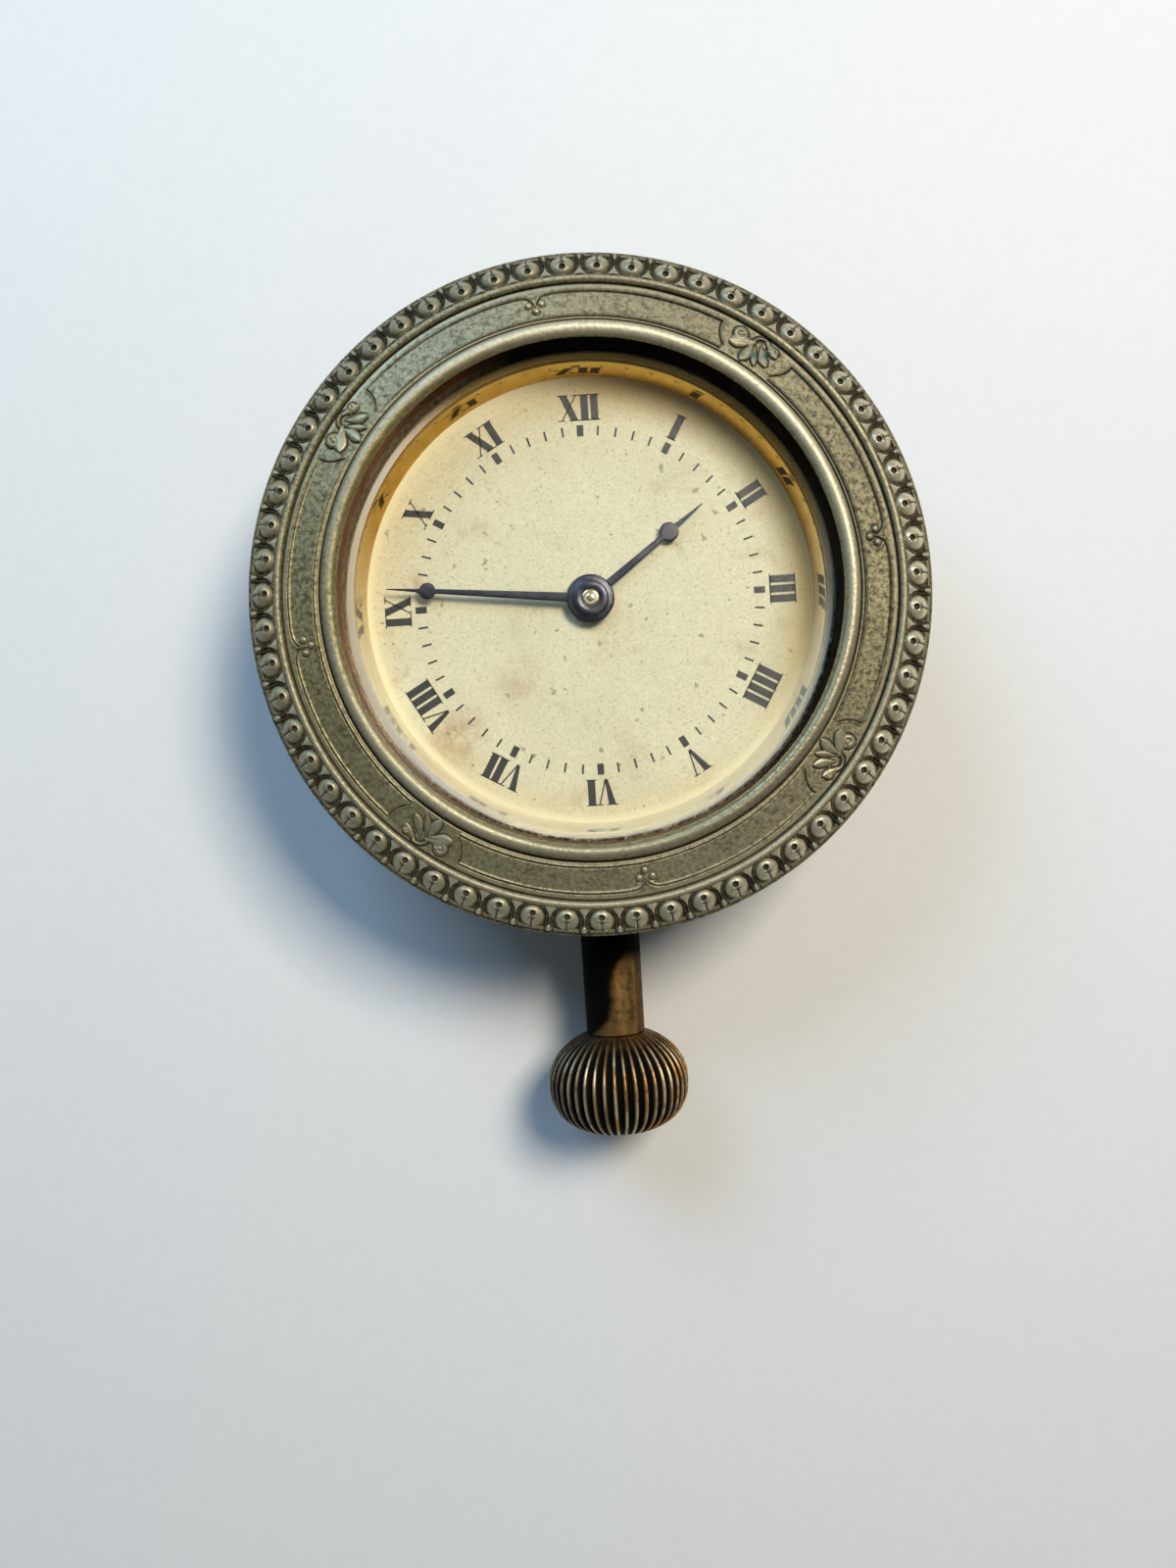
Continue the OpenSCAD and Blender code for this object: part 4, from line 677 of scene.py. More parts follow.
def nearest(angle, first):
    """Signed degrees from the nearest of four marks a quarter turn apart."""
    return (angle - first + 45) % 90 - 45


def strip(name, angle, r, z, feet, sharp, **attributes):
    """Ring-shaped strip: heights z over a grid of angle and radius, closed below by two rings given as
    (radius, height)."""
    top = np.stack([r * np.cos(angle), r * np.sin(angle), z], -1)
    c, s = np.cos(angle[:, 0]), np.sin(angle[:, 0])
    rings = [np.stack([q * c, q * s, np.full(len(angle), low)], -1) for q, low in feet]
    under = np.stack(rings, 1)
    pad = np.zeros((len(angle), len(feet)))
    padded = {key: np.concatenate([values, pad], 1) for key, values in attributes.items()}
    return piece_from_grid(name, np.concatenate([top, under], 1), sharp=sharp, **padded)


def band_angles():
    """Degrees round the band, close together at the ornaments and a degree apart between them."""
    quarter = np.unique(np.concatenate([
        SPRAY_AT + np.linspace(-SPRAY_SPAN, SPRAY_SPAN, 150),
        TREFOIL_AT + np.linspace(-TREFOIL_SPAN, TREFOIL_SPAN, 84),
        np.arange(SPRAY_AT + SPRAY_SPAN + 0.8, TREFOIL_AT - TREFOIL_SPAN - 0.2, 1.0),
        np.arange(TREFOIL_AT + TREFOIL_SPAN + 0.8, SPRAY_AT + 90 - SPRAY_SPAN - 0.2, 1.0),
    ]))
    return np.concatenate([quarter + 90 * k for k in range(4)])[:, None]


def incised_lines(r, us, ut, toward):
    """Heights of the two beaded lines and the bowed panel ends. The outer line dips inwards to each trefoil.
    Each bead has its cut on the side away from the key lamp, and the cut's dark colour is painted shade on
    that side."""
    v = OUTER_LINE_R - r
    w = r - INNER_LINE_R
    funnel = 1.45 * np.exp(-np.abs(ut) / 0.55)
    cut = (v - funnel) / np.sqrt(1 + (funnel / 0.55) ** 2)
    # Painted shade: the dark cut shifts to the side away from the key lamp.
    painted_shade_shift = 0.2 * np.tanh(2 * toward)
    keep = np.where(np.abs(us) > OUTER_LINE_STOP, 1.0, 0.0) * np.where(np.abs(ut) < 0.12, 0.4, 1.0)
    keep_in = np.where(np.abs(us) > INNER_LINE_STOP, 1.0, 0.0)
    h = keep * (0.14 * line(cut, BEAD_HALF) - 0.2 * line(cut - painted_shade_shift, CUT_HALF))
    h = h + keep_in * (0.12 * line(w, BEAD_HALF) - 0.19 * line(w + painted_shade_shift, CUT_HALF))
    t = np.clip(v / PANEL_DEPTH, 0, 1)
    bow = 5.2 - 1.35 * t + 1.9 * t * (1 - t)
    span = smoothstep(-0.1, 0.1, v) * (1 - smoothstep(PANEL_DEPTH - 0.05, PANEL_DEPTH + 0.15, v))
    return h + span * (0.12 * line(np.abs(us) - bow + 0.22, BEAD_HALF) - 0.24 * line(np.abs(us) - bow, 0.1))


def band_strip():
    """The band between lip and moulding: a cone with incised lines, trefoils and leaf sprays as heights on
    it."""
    degrees = band_angles()
    angle = np.radians(degrees)
    in_r = BAND_IN_R - 0.08
    out_r = BAND_OUT_R + 0.06
    r = np.linspace(in_r, out_r, 74)[None, :]
    ut = np.radians(nearest(degrees, TREFOIL_AT)) * TREFOIL_ARC_R
    us = np.radians(nearest(degrees, SPRAY_AT)) * SPRAY_ARC_R
    v = OUTER_LINE_R - r
    toward = facing(angle, KEY_AT)
    foot = line(r - BAND_IN_R - 0.05, 0.17)
    gutter = line(r - BAND_OUT_R, 0.2)
    h = incised_lines(r, us, ut, toward) - 0.48 * foot - 0.42 * gutter
    near = np.abs(us) < 4.5
    leaves = spray(us, v, 0.0) * near
    edge = np.where((spray(us, v, 0.14) * near > 0) & (leaves < 0.08), 1.0, 0.0)
    h = h - 0.14 * edge
    ball = np.zeros_like(h)
    for bu, bv in TREFOIL_BALLS:
        away = np.hypot(ut - bu, v - bv)
        ball = np.maximum(ball, np.sqrt(np.clip(BALL_R ** 2 - away ** 2, 0, None)))
        h = h - 0.08 * line(away - BALL_R - 0.06, 0.07)
    stem = np.where((v > 0.3) & (v < 1.8), 1.0, 0.0) * line(ut, 0.14) * 0.2
    h = h + np.maximum(np.maximum(leaves, ball * 0.85), stem)
    cone = BAND_HIGH_Z + (BAND_LOW_Z - BAND_HIGH_Z) * (r - BAND_IN_R) / (BAND_OUT_R - BAND_IN_R)
    # Painted shade: the band is darker towards the upper right.
    relief = np.clip(h * 4.5, -1, 0) - 0.4 * edge - 0.27 * smoothstep(0.55, 1.0, facing(angle, 38))
    # Painted shade: the foot of the lip stays dark only on the side away from the key lamp, and the gutter
    # inside the moulding only on the side towards it, where the moulding shades it.
    relief = relief * (1 - 0.65 * foot * smoothstep(-0.4, 0.3, toward))
    relief = relief * (1 - 0.6 * gutter * smoothstep(0.2, -0.5, toward))
    gloss = np.clip((h - 0.06) * 0.9, 0, 0.36)
    gloss = gloss + 0.25 * line(r - BAND_OUT_R + 0.4, 0.3) + 0.2 * line(r - BAND_IN_R - 0.35, 0.2)
    # Partly wear and partly painted light: the band is paler at the top and the bottom.
    wear = gloss + 0.09 * smoothstep(0.2, 0.95, np.abs(np.sin(angle)))
    rust = 0.35 * smoothstep(0.2, 0.9, facing(angle, 190)) * np.ones_like(r)
    green = np.max([line(np.hypot(us - gu, v - gv), 0.5) for gu, gv in GREEN_SPOTS], axis=0)
    green = green * ((degrees > GREEN_FROM) & (degrees < GREEN_TO))
    return strip(
        "bezel_band", angle, r, cone + h, ((out_r, 28.95), (in_r, 29.95)), 60,
        relief=relief, wear=wear, verdigris=green, gloss=gloss, rust=rust,
    )


def egg_strip():
    """The egg-and-dart row. In each cell, u along the row and v outwards in millimetres from the egg's
    middle: an egg dome with a drilled eye and a split, a grooved U-shaped cup round it, a dart between cups
    and a ledge outside."""
    per = 40
    rings = 38
    in_r = EGG_IN_R - 0.02
    out_r = EGG_OUT_R + 0.02
    angle = around(EGG_COUNT * per)[:, None]
    r = np.linspace(in_r, out_r, rings)[None, :]
    cell = TAU / EGG_COUNT
    pitch = cell * EGG_MID_R
    u = ((angle / cell + 0.5) % 1 - 0.5) * pitch
    v = r - EGG_MID_R + 0 * u
    away = np.hypot(EGG_SQUEEZE * u, v)
    cup = np.hypot(EGG_SQUEEZE * u, np.minimum(v, 0))
    egg = EGG_RISE * np.sqrt(np.clip(1 - (away / EGG_R) ** 2, 0, None))
    hole = smoothstep(0.44, 0.34, np.hypot(u, v + EYE_BACK))
    fork = line(np.abs(u) * 0.8 + v - 0.42, 0.09) * (np.abs(u) < 0.42)
    split = np.maximum(line(u, 0.09) * smoothstep(-0.1, 0.1, v), fork) * (egg > 0.2)
    egg = egg - 0.5 * hole - 0.28 * split
    wall = 0.7 * smoothstep(CUP_IN_R, CUP_IN_R + 0.05, cup) * smoothstep(CUP_OUT_R, CUP_OUT_R - 0.09, cup)
    wall = wall * (1 - 0.4 * line(cup - 1.67, 0.05))
    end = smoothstep(0.75, 1.3, v)
    dart_half = 0.2 + 0.25 * end + 0.75 * smoothstep(-0.5, -1.4, v)
    dart = 0.5 + 0.5 * line(pitch / 2 - np.abs(u), dart_half)
    dart = dart * smoothstep(CUP_OUT_R - 0.02, CUP_OUT_R + 0.06, cup + 0.25 * end)
    ledge = 0.62 * smoothstep(1.24, 1.34, v) * smoothstep(1.72, 1.6, np.abs(u))
    floor = 0.2 + 0.25 * smoothstep(-0.8, -1.4, v)
    h = np.max([egg, wall, dart, ledge, floor], axis=0)
    bed = EGG_BED_Z + (RIM_Z - EGG_BED_Z) * (r - EGG_IN_R) / (EGG_OUT_R - EGG_IN_R) - 0.35
    # Patina and painted shade: the moat between egg and cup is darkened.
    moat_patina_and_painted_shade = 0.55 * smoothstep(1.46, 1.52, away) * smoothstep(CUP_OUT_R, CUP_OUT_R - 0.08, cup)
    moat_patina_and_painted_shade = moat_patina_and_painted_shade * (ledge < 0.3)
    relief = -np.max([smoothstep(0.32, 0.06, h), moat_patina_and_painted_shade, hole * 0.75, split * 0.8], axis=0)
    # Painted shade: the row is darker at the top and a little at the lower right.
    relief = relief - 0.2 * smoothstep(0.1, 0.8, facing(angle, 80))
    relief = relief - 0.12 * smoothstep(0.5, 0.95, facing(angle, 325))
    # Partly wear and partly painted light: the eggs' wear is brighter at the lower right and their crests
    # brighter at the right; polish only sets roughness.
    cleaned_and_painted_light = 0.82 + 0.3 * facing(angle, -45)
    dulled_and_painted_shade = 0.74 + 0.28 * facing(angle, 20)
    polished = 0.55 + 0.45 * facing(angle, 10)
    crest = smoothstep(0.3, 0.9, egg) * 0.95 * dulled_and_painted_shade + smoothstep(0.7, 0.9, dart)
    crest = (crest + 0.4 * ledge + 0.7 * wall) * (1 + relief)
    return strip(
        "egg_and_dart", angle, r, bed + h, ((out_r, 26.8), (in_r, 28.5)), 75,
        relief=relief, wear=np.clip(crest * cleaned_and_painted_light, 0, 1), gloss=np.clip(crest * polished, 0, 1),
    )


dress(bezel_body(), "case", "bezel_bronze", BRONZE, "bezel")
dress(band_strip(), "case", "bezel_bronze", BRONZE)
dress(egg_strip(), "case", "bezel_bronze", BRONZE)
dress(wall_skin(), "case", "bezel_bronze", WALL)


# Glass, reflector ring and dial

BEVEL_R = (32.3, 32.08, 32.02, 31.6, 31.05)
BEVEL_WIDE = 1.25
BEVEL_STEP = 0.02
GLASS_R = 33.4
REFLECTOR_R = 32.0
DIAL_BORE_R = 2.15
DIAL_FLAT_R = 28.6
DIAL_R = 31.8
DIAL_THICK = 0.8
DISH_RISE = 0.45
DISH_WIDE = 1.8


def bevelled_glass():
    """Flat glass with a bevel and a rebated edge. The bevel is painted matt white round the left as a painted
    highlight, and it is dirty along its foot near the bottom."""
    bevel = np.array(BEVEL_R)
    slope = (GLASS_TOP_Z - GLASS_SHOULDER_Z - 2 * BEVEL_STEP) / BEVEL_WIDE
    fall = GLASS_SHOULDER_Z + BEVEL_STEP + slope * (bevel[0] - bevel)
    r = np.concatenate([[0.0, 16.0, GLASS_R, GLASS_R, bevel[0] + 0.04], bevel, [31.0, 16.0, 0.0]])
    z = np.concatenate([[GLASS_Z] * 3, [GLASS_SHOULDER_Z] * 2, fall, [GLASS_TOP_Z] * 3])
    matt = np.array([0] * 5 + [0, 0, 1, 1, 1] + [0] * 3)
    sloped = np.array([0] * 5 + [1, 1, 1, 1, 1] + [0] * 3)
    edge = np.array([0] * 4 + [1, 1, 1, 1] + [0] * 5)
    a = around(AROUND_COUNT)
    # Painted highlight: the bevel is made matt white round the left.
    ground = 0.92 * smoothstep(0.35, 0.75, facing(a, 188))[:, None] * matt
    grime = smoothstep(0.1, 0.6, facing(a, 290))[:, None] * edge
    bevelled = np.ones((len(a), 1)) * sloped
    return piece_from_grid(
        "bevelled_glass", turned(r[None], z[None], a), sharp=15, merge=True,
        ground=ground, bevel=bevelled, grime=grime,
    )


def reflector():
    """Polished ring between dial and glass, gold at the top and painted pale round the bottom as a painted
    reflection of the cream dial.
    """
    low = DIAL_Z + HAIR
    high = GLASS_Z - HAIR
    r, z = np.array([
        (29.8, low), (30.15, DIAL_Z + 0.7), (30.7, GLASS_Z - 0.7), (31.1, high),
        (REFLECTOR_R, high), (REFLECTOR_R, low),
    ]).T
    a = around(AROUND_COUNT)
    # Painted reflection: the ring is paler round the bottom.
    pale = smoothstep(-0.5, 0.4, facing(a, -90))[:, None] * np.ones((1, len(r)))
    return piece_from_grid("gilt_reflector", turned(r[None], z[None], a), pale=pale)


def dial_plate():
    """Dial disc, bored at the centre: flat, then dished up by 0.45 t^2 towards its edge, with a flat rim
    under the reflector."""
    rim = np.linspace(DIAL_FLAT_R, DIAL_R, 14)
    dished = rim < DIAL_FLAT_R + DISH_WIDE + HAIR
    lift = DISH_RISE * np.clip((rim - DIAL_FLAT_R) / DISH_WIDE, 0, 1) ** 2 * dished
    r = np.concatenate([[DIAL_BORE_R, 6, 12, 18, 24], rim, [DIAL_R, 16, DIAL_BORE_R]])
    z = np.concatenate([np.full(5, DIAL_Z), DIAL_Z + lift, np.full(3, DIAL_Z - DIAL_THICK)])
    a = around(300)
    wear = smoothstep(DIAL_FLAT_R, DIAL_FLAT_R + 1.0, r) * (z > DIAL_Z - 0.1)
    # Painted shade on the dial's edge: strong at the upper right, under the lip's shadow, weaker at the
    # bottom.
    shaded = 0.8 * smoothstep(0.1, 0.8, facing(a, 35)) + 0.26 * smoothstep(0.3, 0.9, facing(a, 268))
    gloom = shaded[:, None] * smoothstep(24.5, 29.5, r)
    worn = np.ones((len(a), 1)) * wear
    return piece_from_grid("dial_plate", turned(r[None], z[None], a), wear=worn, gloom=gloom)


dress(bevelled_glass(), "case", "glass", GLASS, "glass")
dress(reflector(), "case", "gilt", GILT, "reflector_ring")
dress(dial_plate(), "case", "dial_paint", DIAL, "dial")


# Figures and minute marks, printed on the dial

GLYPH_H = 3.5
SERIF = 0.14
THICK_STROKE = 1.0
THIN_STROKE = 0.2
ADVANCE = {"I": 1.32, "V": 2.75, "X": 2.85}
HOURS = "XII I II III IIII V VI VII VIII IX X XI".split()
FIGURE_FOOT_R = 24.1
MARK_FOOT_R = 22.0
INK_SUNK = 0.02
INK_PROUD = 0.03
# Half width, foot and top of a mark
FIVE_MARK = (0.44, 0.0, 1.5)
MINUTE_MARK = (0.125, 0.1, 1.4)


def bar(top_x, foot_x, top_wide=THICK_STROKE, foot_wide=THICK_STROKE):
    """Slanting stroke as high as a letter, by its left edge and width at the top and at the foot."""
    return [(top_x, GLYPH_H), (top_x + top_wide, GLYPH_H), (foot_x + foot_wide, 0), (foot_x, 0)]


def hairline(top_x, foot_x):
    """Thin slanting stroke by its left edge at the top and at the foot."""
    return bar(top_x, foot_x, THIN_STROKE, THIN_STROKE)


def serif(x0, x1, y):
    """Level stroke from x0 to x1 standing on y."""
    return [(x0, y + SERIF), (x1, y + SERIF), (x1, y), (x0, y)]


def glyph(letter, x):
    """Four-cornered strokes of one letter whose left edge is at x, from its foot at y = 0."""
    top = GLYPH_H - SERIF
    if letter == "I":
        return [bar(x + 0.16, x + 0.16), serif(x - 0.06, x + 1.38, 0), serif(x - 0.06, x + 1.38, top)]
    if letter == "V":
        return [
            bar(x + 0.2, x + 1.2, foot_wide=0.42), hairline(x + 2.35, x + 1.4),
            serif(x - 0.05, x + 1.45, top), serif(x + 1.9, x + 2.8, top),
        ]
    return [
        bar(x + 0.15, x + 1.65), hairline(x + 2.35, x + 0.3),
        serif(x - 0.1, x + 1.35, top), serif(x + 1.95, x + 2.8, top),
        serif(x - 0.1, x + 0.8, 0), serif(x + 1.4, x + 2.9, 0),
    ]


def numeral(word):
    """Strokes of a numeral's letters side by side, its middle at x = 0."""
    x = -sum(ADVANCE[letter] for letter in word) / 2
    strokes = []
    for letter in word:
        strokes += glyph(letter, x)
        x += ADVANCE[letter]
    return strokes


def on_dial(strokes, clock_angle, r0):
    """Turns strokes drawn upright to a place on the dial, feet at radius r0, clockwise from twelve."""
    s = np.array(strokes, float) + [0, r0]
    a = -math.radians(clock_angle)
    return s @ np.array([[math.cos(a), math.sin(a)], [-math.sin(a), math.cos(a)]])


def dial_figures():
    """Thin closed prisms over the four-cornered strokes of twelve numerals and sixty minute marks."""
    strokes = [on_dial(numeral(word), hour * 30, FIGURE_FOOT_R) for hour, word in enumerate(HOURS)]
    for minute in range(60):
        half, low, high = MINUTE_MARK if minute % 5 else FIVE_MARK
        mark = [[(-half, high), (half, high), (half, low), (-half, low)]]
        strokes.append(on_dial(mark, minute * 6, MARK_FOOT_R))
    flat = np.concatenate(strokes)
    count = len(flat)
    under = np.concatenate([flat, np.full((count, 4, 1), DIAL_Z - INK_SUNK)], -1)
    over = np.concatenate([flat, np.full((count, 4, 1), DIAL_Z + INK_PROUD)], -1)
    co = np.concatenate([under, over], 1).reshape(-1, 3) * MM
    sides = np.array([[4, 5, 6, 7], [3, 2, 1, 0], [0, 1, 5, 4], [1, 2, 6, 5], [2, 3, 7, 6], [3, 0, 4, 7]])
    quads = (sides[None] + 8 * np.arange(count)[:, None, None]).reshape(-1, 4)
    return piece_from_faces("dial_figures", co, quads, 20)


dress(dial_figures(), "case", "dial_paint", INK)


# Hands, at fourteen minutes to two

HOUR_Z = 22.85
MINUTE_Z = 23.5
HAND_THICK = 0.3
HAND_FROM = 2.0
TIP_WIDE = 0.12
MINUTES = 46


def hand(name, clock_angle, z0, length, disc_at, disc_r, hub_wide, waist_wide, blade_wide):
    """A hand as a rounded strip: it tapers from the hub to the disc, swells to the disc's circle, then tapers
    to the tip. Its section is a superellipse of that half width and the hand's thickness."""
    s = np.concatenate([
        np.linspace(HAND_FROM, disc_at - disc_r - 0.02, 24),
        np.linspace(disc_at - disc_r, disc_at + disc_r, 41),
        np.linspace(disc_at + disc_r + 0.02, length, 20),
    ])
    shaft = hub_wide + (waist_wide - hub_wide) * (s - HAND_FROM) / (disc_at - HAND_FROM)
    blade = blade_wide + (TIP_WIDE - blade_wide) * (s - disc_at) / (length - disc_at)
    disc = np.sqrt(np.clip(disc_r ** 2 - (s - disc_at) ** 2, 0, None))
    half = np.maximum(np.where(s < disc_at, shaft, blade) / 2, disc)
    a = around(20)
    c, d = np.cos(a), np.sin(a)
    x = np.sign(c) * np.abs(c) ** 0.75
    y = np.sign(d) * np.abs(d) ** 0.55
    t = -math.radians(clock_angle)
    along = np.array([-math.sin(t), math.cos(t), 0])
    across = np.array([math.cos(t), math.sin(t), 0])
    height = (z0 + HAND_THICK / 2 + HAND_THICK / 2 * y)[None, :, None] * np.array([0, 0, 1.0])
    grid = s[:, None, None] * along + half[:, None, None] * x[None, :, None] * across + height
    ends = [np.broadcast_to(grid[k].mean(0), (1, len(a), 3)) for k in (0, -1)]
    closed = np.concatenate([ends[0], grid, ends[1]])
    return piece_from_grid(name, closed, wrap_u=False, sharp=50, merge=True)


def stacked(z0, *steps):
    """Profile points from radii and heights over z0."""
    return [(r, z0 + dz) for r, dz in steps]


hour_blade = hand(
    "hour_blade", (1 + MINUTES / 60) * 30, HOUR_Z, length=19.6, disc_at=13.8, disc_r=1.3,
    hub_wide=1.15, waist_wide=0.75, blade_wide=0.85,
)
hour_collar = revolved("hour_collar", stacked(
    HOUR_Z, (1.66, 0), (2.5, 0), (2.5, HAND_THICK), (1.66, HAND_THICK)
), 96)
minute_blade = hand(
    "minute_blade", MINUTES * 6, MINUTE_Z, length=27.2, disc_at=21.7, disc_r=1.12,
    hub_wide=1.3, waist_wide=0.62, blade_wide=0.6,
)
hub = revolved("hand_hub", stacked(
    MINUTE_Z, (1.21, 0), (2.9, 0), (3.15, 0.08), (3.2, 0.2), (3.1, 0.32), (2.75, 0.4),
    (2.45, 0.38), (2.35, 0.46), (2.1, 0.56), (1.75, 0.6), (1.5, 0.56), (1.21, 0.5),
), 128, sharp=60)
cap = revolved("centre_cap", stacked(
    MINUTE_Z, (0.0, 0.3), (1.2, 0.3), (1.2, 0.55), (1.1, 0.68), (0.82, 0.72),
    (0.66, 0.68), (0.6, 0.74), (0.3, 0.8), (0.0, 0.8),
), 96, sharp=60, merge=True)
dress(hour_blade, "hour_hand_body", "hand_steel", HANDS)
dress(hour_collar, "hour_hand_body", "hand_steel", HANDS, "hour_hand")
dress(minute_blade, "minute_hand_body", "hand_steel", HANDS)
dress(hub, "minute_hand_body", "hand_steel", HANDS, "minute_hand")
dress(cap, "minute_hand_body", "gilt", CAP, "hand_cap")


# Stem tube and knob

TUBE_FROM = 32.05
TUBE_TO = KNOB_FROM - 0.2
TUBE_NEAR_R = 4.29
TUBE_FAR_R = 4.15
TUBE_BORE_R = 2.1
WORN_FROM_T = [49, 52, 57.5, 60]
WORN_FROM = [0.3, -0.08, -0.16, -0.75]
KNOB_R = 10.0
KNOB_CUT = 0.9
KNOB_BORE_R = 2.02
KNOB_END_R = 3.4
KNOB_RECESS_R = 3.0
KNOB_RECESS = 0.05
RIB_COUNT = 42
RIB_DEEP = 0.62


def along_stem(name, grid_r, grid_t, grid_a, **attributes):
    """Grid of radius r and distance t along the stem over an angle a round its axis:
    (r cos a, -t, stem height + r sin a)."""
    xyz = np.stack([grid_r * np.cos(grid_a), -grid_t, STEM_Z + grid_r * np.sin(grid_a)], -1)
    return piece_from_grid(name, xyz, sharp=60, merge=True, **attributes)


def tube():
    """Slightly tapered tube from case to knob, worn brown on its right flank past the bezel's edge; nearer
    the case it is painted black as the bezel's shadow.
    """
    t = np.concatenate([np.linspace(TUBE_FROM, TUBE_TO, 60), [TUBE_TO, TUBE_FROM]])
    r = np.concatenate([np.linspace(TUBE_NEAR_R, TUBE_FAR_R, 60), [TUBE_BORE_R, TUBE_BORE_R]])
    n = 160
    a = np.broadcast_to(around(n)[:, None], (n, len(t)))
    ragged = 0.03 * np.sin(1.9 * t) + 0.02 * np.sin(4.3 * t + 1)
    start = np.interp(t, WORN_FROM_T, WORN_FROM)
    # Painted shadow: nothing is worn nearer the case than about 48 mm along the stem, so the tube stays black
    # in the bezel's shade.
    worn = smoothstep(-0.2, 0.24, np.cos(a) + ragged - start) * smoothstep(47.5, 50.5, t)
    worn = worn * (1 - 0.4 * smoothstep(0.66, 0.8, np.cos(a))) * (np.sin(a) > -0.5)
    rr, tt = np.broadcast_to(r, a.shape), np.broadcast_to(t, a.shape)
    return along_stem("stem_tube", rr, tt, a, relief=-(1 - worn), wear=0.5 * worn)


def knob():
    """Onion knob: r = 10 (1 - |s|^p)^(1/p) along its length, p = 2 near the tube and 2.5 beyond the middle.
    Narrow ribs stand between wider grooves and fade at the near end; each is worn a little differently, and
    the wear is brighter towards the right as painted light."""
    s = np.linspace(-KNOB_CUT, KNOB_CUT, 56)
    p = np.where(s < 0, 2.0, 2.5)
    r = KNOB_R * (1 - np.abs(s) ** p) ** (1 / p)
    far_t = KNOB_FROM + KNOB_LEN
    t = KNOB_FROM + KNOB_LEN * (s - s[0]) / (s[-1] - s[0])
    fade = smoothstep(-0.95, -0.6, s) * (1 - smoothstep(0.86, 0.95, s) * 0.5)
    a = around(RIB_COUNT * 14)[:, None]
    n = len(a)
    wave = (0.5 + 0.5 * np.cos(RIB_COUNT * a)) ** 1.4
    groove = (1 - wave) * fade
    rr = r - RIB_DEEP * groove * np.minimum(1, r / 8)
    near = np.full((n, 1), KNOB_BORE_R)
    far = np.broadcast_to([KNOB_END_R, KNOB_RECESS_R, 0.0], (n, 3))
    rr = np.concatenate([near, rr, far], 1)
    tt = np.concatenate([[KNOB_FROM], t, [far_t, far_t - KNOB_RECESS, far_t - KNOB_RECESS]])
    rib = np.round(RIB_COUNT * a / TAU)
    uneven = 1.0 + 0.18 * np.sin(2.4 * rib) + 0.16 * np.sin(6 * s + 1.7 * rib)
    handled = 0.5 + 0.5 * smoothstep(-0.9, -0.2, s)
    worn = smoothstep(0.5, 0.95, wave) * (0.3 + 0.7 * fade) + 0.3 * (1 - fade)
    # Painted light: the wear is brighter towards the right, the side facing the key lamp.
    worn = worn * uneven * handled * (0.98 + 0.32 * np.cos(a))
    relief = np.concatenate([np.zeros((n, 1)), -groove, np.zeros((n, 3))], 1)
    wear = np.concatenate([np.zeros((n, 1)), worn, np.full((n, 3), 0.2)], 1)
    silver = np.broadcast_to(0.75 * smoothstep(0.05, 0.8, -np.cos(a)), rr.shape)
    tt, aa = np.broadcast_to(tt, rr.shape), np.broadcast_to(a, rr.shape)
    return along_stem("ribbed_knob", rr, tt, aa, relief=relief, wear=wear, silver=silver)


dress(tube(), "case", "stem_bronze", STEM, "pendant_tube")
dress(knob(), "knob", "stem_bronze", STEM, "winding_knob")


# Back cover

BACK_R = 34.6
BACK_BORE_R = 33.71
BACK_DEEP = 5.0
BACK_WALL = 1.0
back_cap = revolved("back_cap", [
    (0.0, 0.0), (20.0, 0.0), (33.1, 0.0), (33.7, 0.2), (34.3, 0.8), (BACK_R, 1.5),
    (BACK_R, BACK_DEEP - 0.1), (BACK_R - 0.1, BACK_DEEP), (BACK_BORE_R, BACK_DEEP),
    (BACK_BORE_R, BACK_WALL), (20.0, BACK_WALL), (0.0, BACK_WALL),
], 240, merge=True)
dress(back_cap, "case", "case_brass", CASE, "back_cover")


# Stage, light and camera, in metres

FLOOR_HALF = 2
FLOOR_Z = -0.0002
KEY_PLACE = (0.25, 0.236, 0.58)
KEY_SIZE = 0.22
KEY_WATTS = 3.8
KEY_COLOUR = (1.0, 0.91, 0.75)
WINDOW_PLACE = (-0.27, 0.42, 0.42)
WINDOW_AIM = (0, -0.03, 0)
WINDOW_SIZE = 0.32
WINDOW_WATTS = 2.0
WINDOW_COLOUR = (0.42, 0.69, 1.0)
SKY_COLOUR = (0.76, 0.9, 1.0, 1)
SKY_STRENGTH = 0.1
CAMERA_PLACE = (-0.00183, -0.02463, 0.1795)
CAMERA_TURN = -3.5
CAMERA_LENS = 26.8


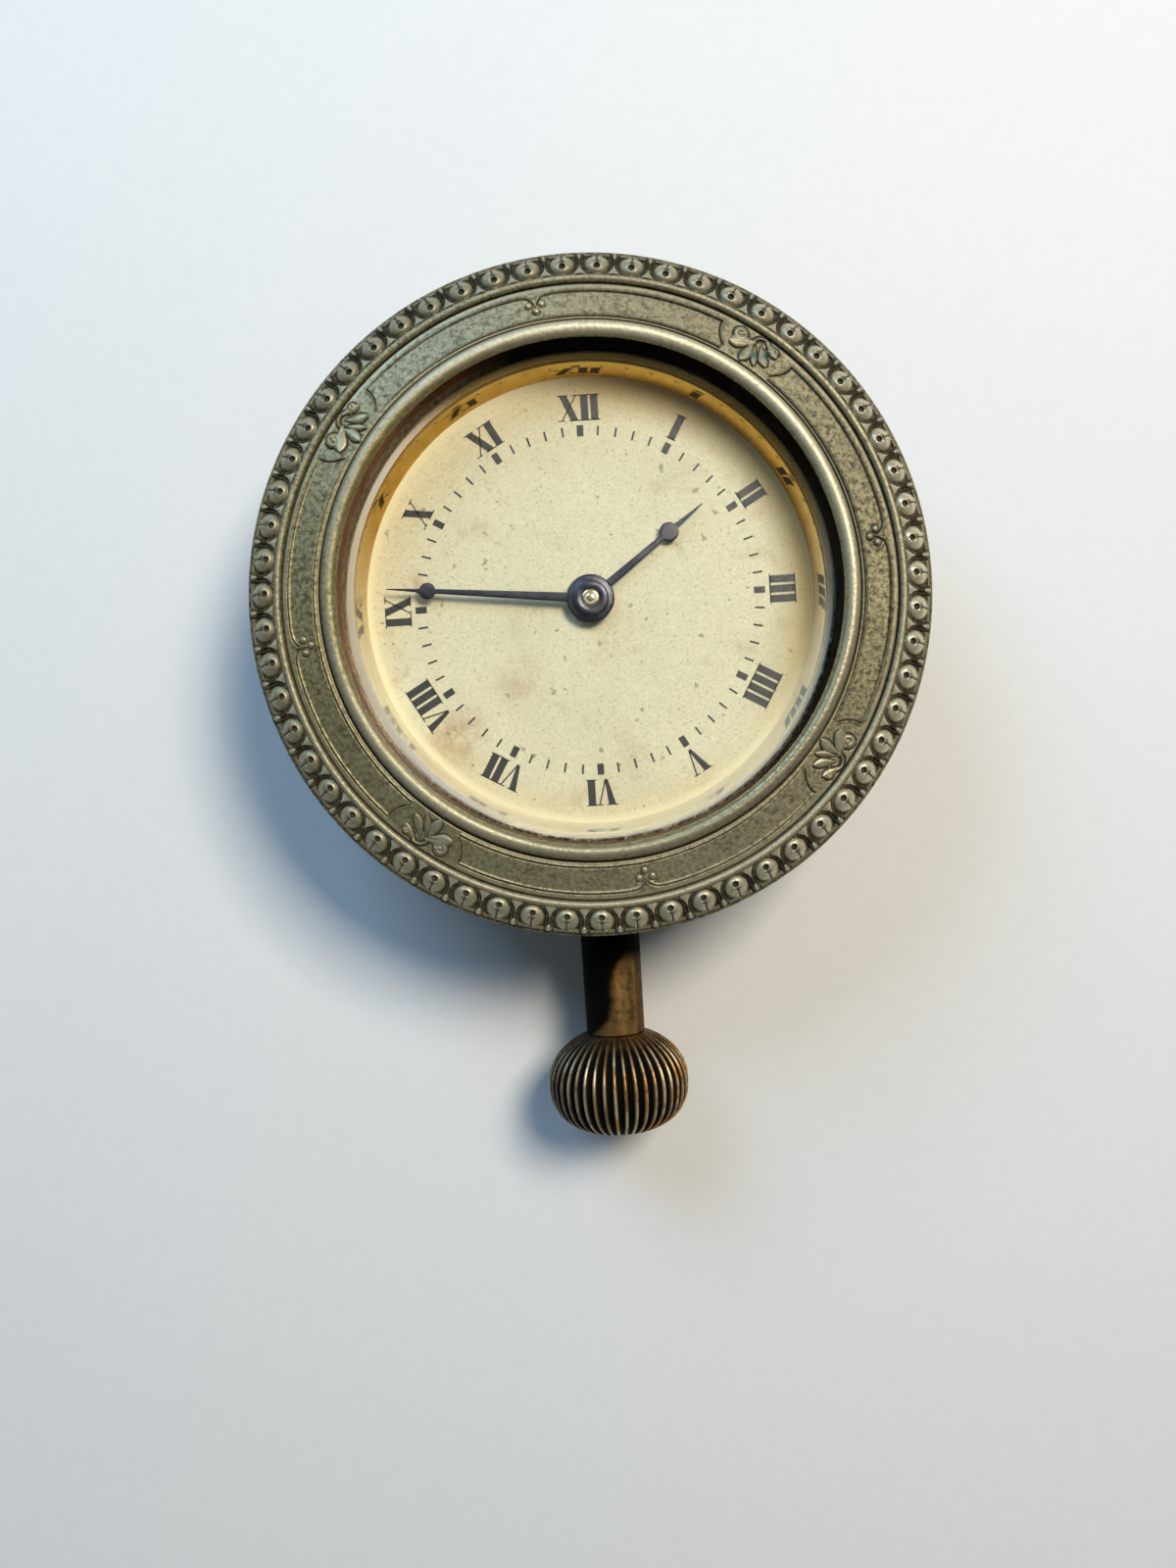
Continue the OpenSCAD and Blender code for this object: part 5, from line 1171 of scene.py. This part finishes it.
def lamp(name, place, aim, size, watts, colour):
    """Square soft lamp at a place, turned to face the point it is aimed at."""
    data = bpy.data.lights.new(name, "AREA")
    data.size = size
    data.energy = watts
    data.color = colour
    obj = bpy.data.objects.new(name, data)
    bpy.context.scene.collection.objects.link(obj)
    obj.location = place
    x, y, z = np.array(aim) - np.array(place)
    obj.rotation_euler = (math.atan2(math.hypot(x, y), -z), 0, math.atan2(-x, y))


def paper_floor():
    """Plain pale paper, one quad just under the clock."""
    f = Finish("paper_floor")
    fibre = f.noise(0.4, 3, 0.6).above(0.3, 0.7)
    base = f.mix(fibre * 0.25, srgb(239, 240, 242), srgb(229, 231, 234))
    corners = [(x * FLOOR_HALF, y * FLOOR_HALF, FLOOR_Z) for x, y in ((-1, -1), (1, -1), (1, 1), (-1, 1))]
    mesh = bpy.data.meshes.new("paper")
    mesh.from_pydata(corners, [], [(0, 1, 2, 3)])
    mesh.materials.append(f.end(f.surface(Base_Color=base, Roughness=0.8)))
    paper = bpy.data.objects.new("paper", mesh)
    bpy.context.scene.collection.objects.link(paper)


def studio():
    """A soft warm lamp overhead to the right, a cool one at the upper left and a dim cool sky."""
    lamp("key", KEY_PLACE, (0, 0, 0), KEY_SIZE, KEY_WATTS, KEY_COLOUR)
    lamp("window", WINDOW_PLACE, WINDOW_AIM, WINDOW_SIZE, WINDOW_WATTS, WINDOW_COLOUR)
    world = bpy.data.worlds.new("pale_sky")
    bpy.context.scene.world = world
    world.use_nodes = True
    sky = world.node_tree.nodes["Background"]
    sky.inputs["Color"].default_value = SKY_COLOUR
    sky.inputs["Strength"].default_value = SKY_STRENGTH


paper_floor()
studio()
camera_data = bpy.data.cameras.new("camera")
camera_data.sensor_fit = "AUTO"
camera_data.sensor_width = 36
camera_data.lens = CAMERA_LENS
camera_data.clip_start = 0.01
camera = bpy.data.objects.new("camera", camera_data)
bpy.context.scene.collection.objects.link(camera)
camera.location = CAMERA_PLACE
camera.rotation_euler = (0, 0, math.radians(CAMERA_TURN))
bpy.context.scene.camera = camera
bpy.context.scene.view_settings.view_transform = "Standard"
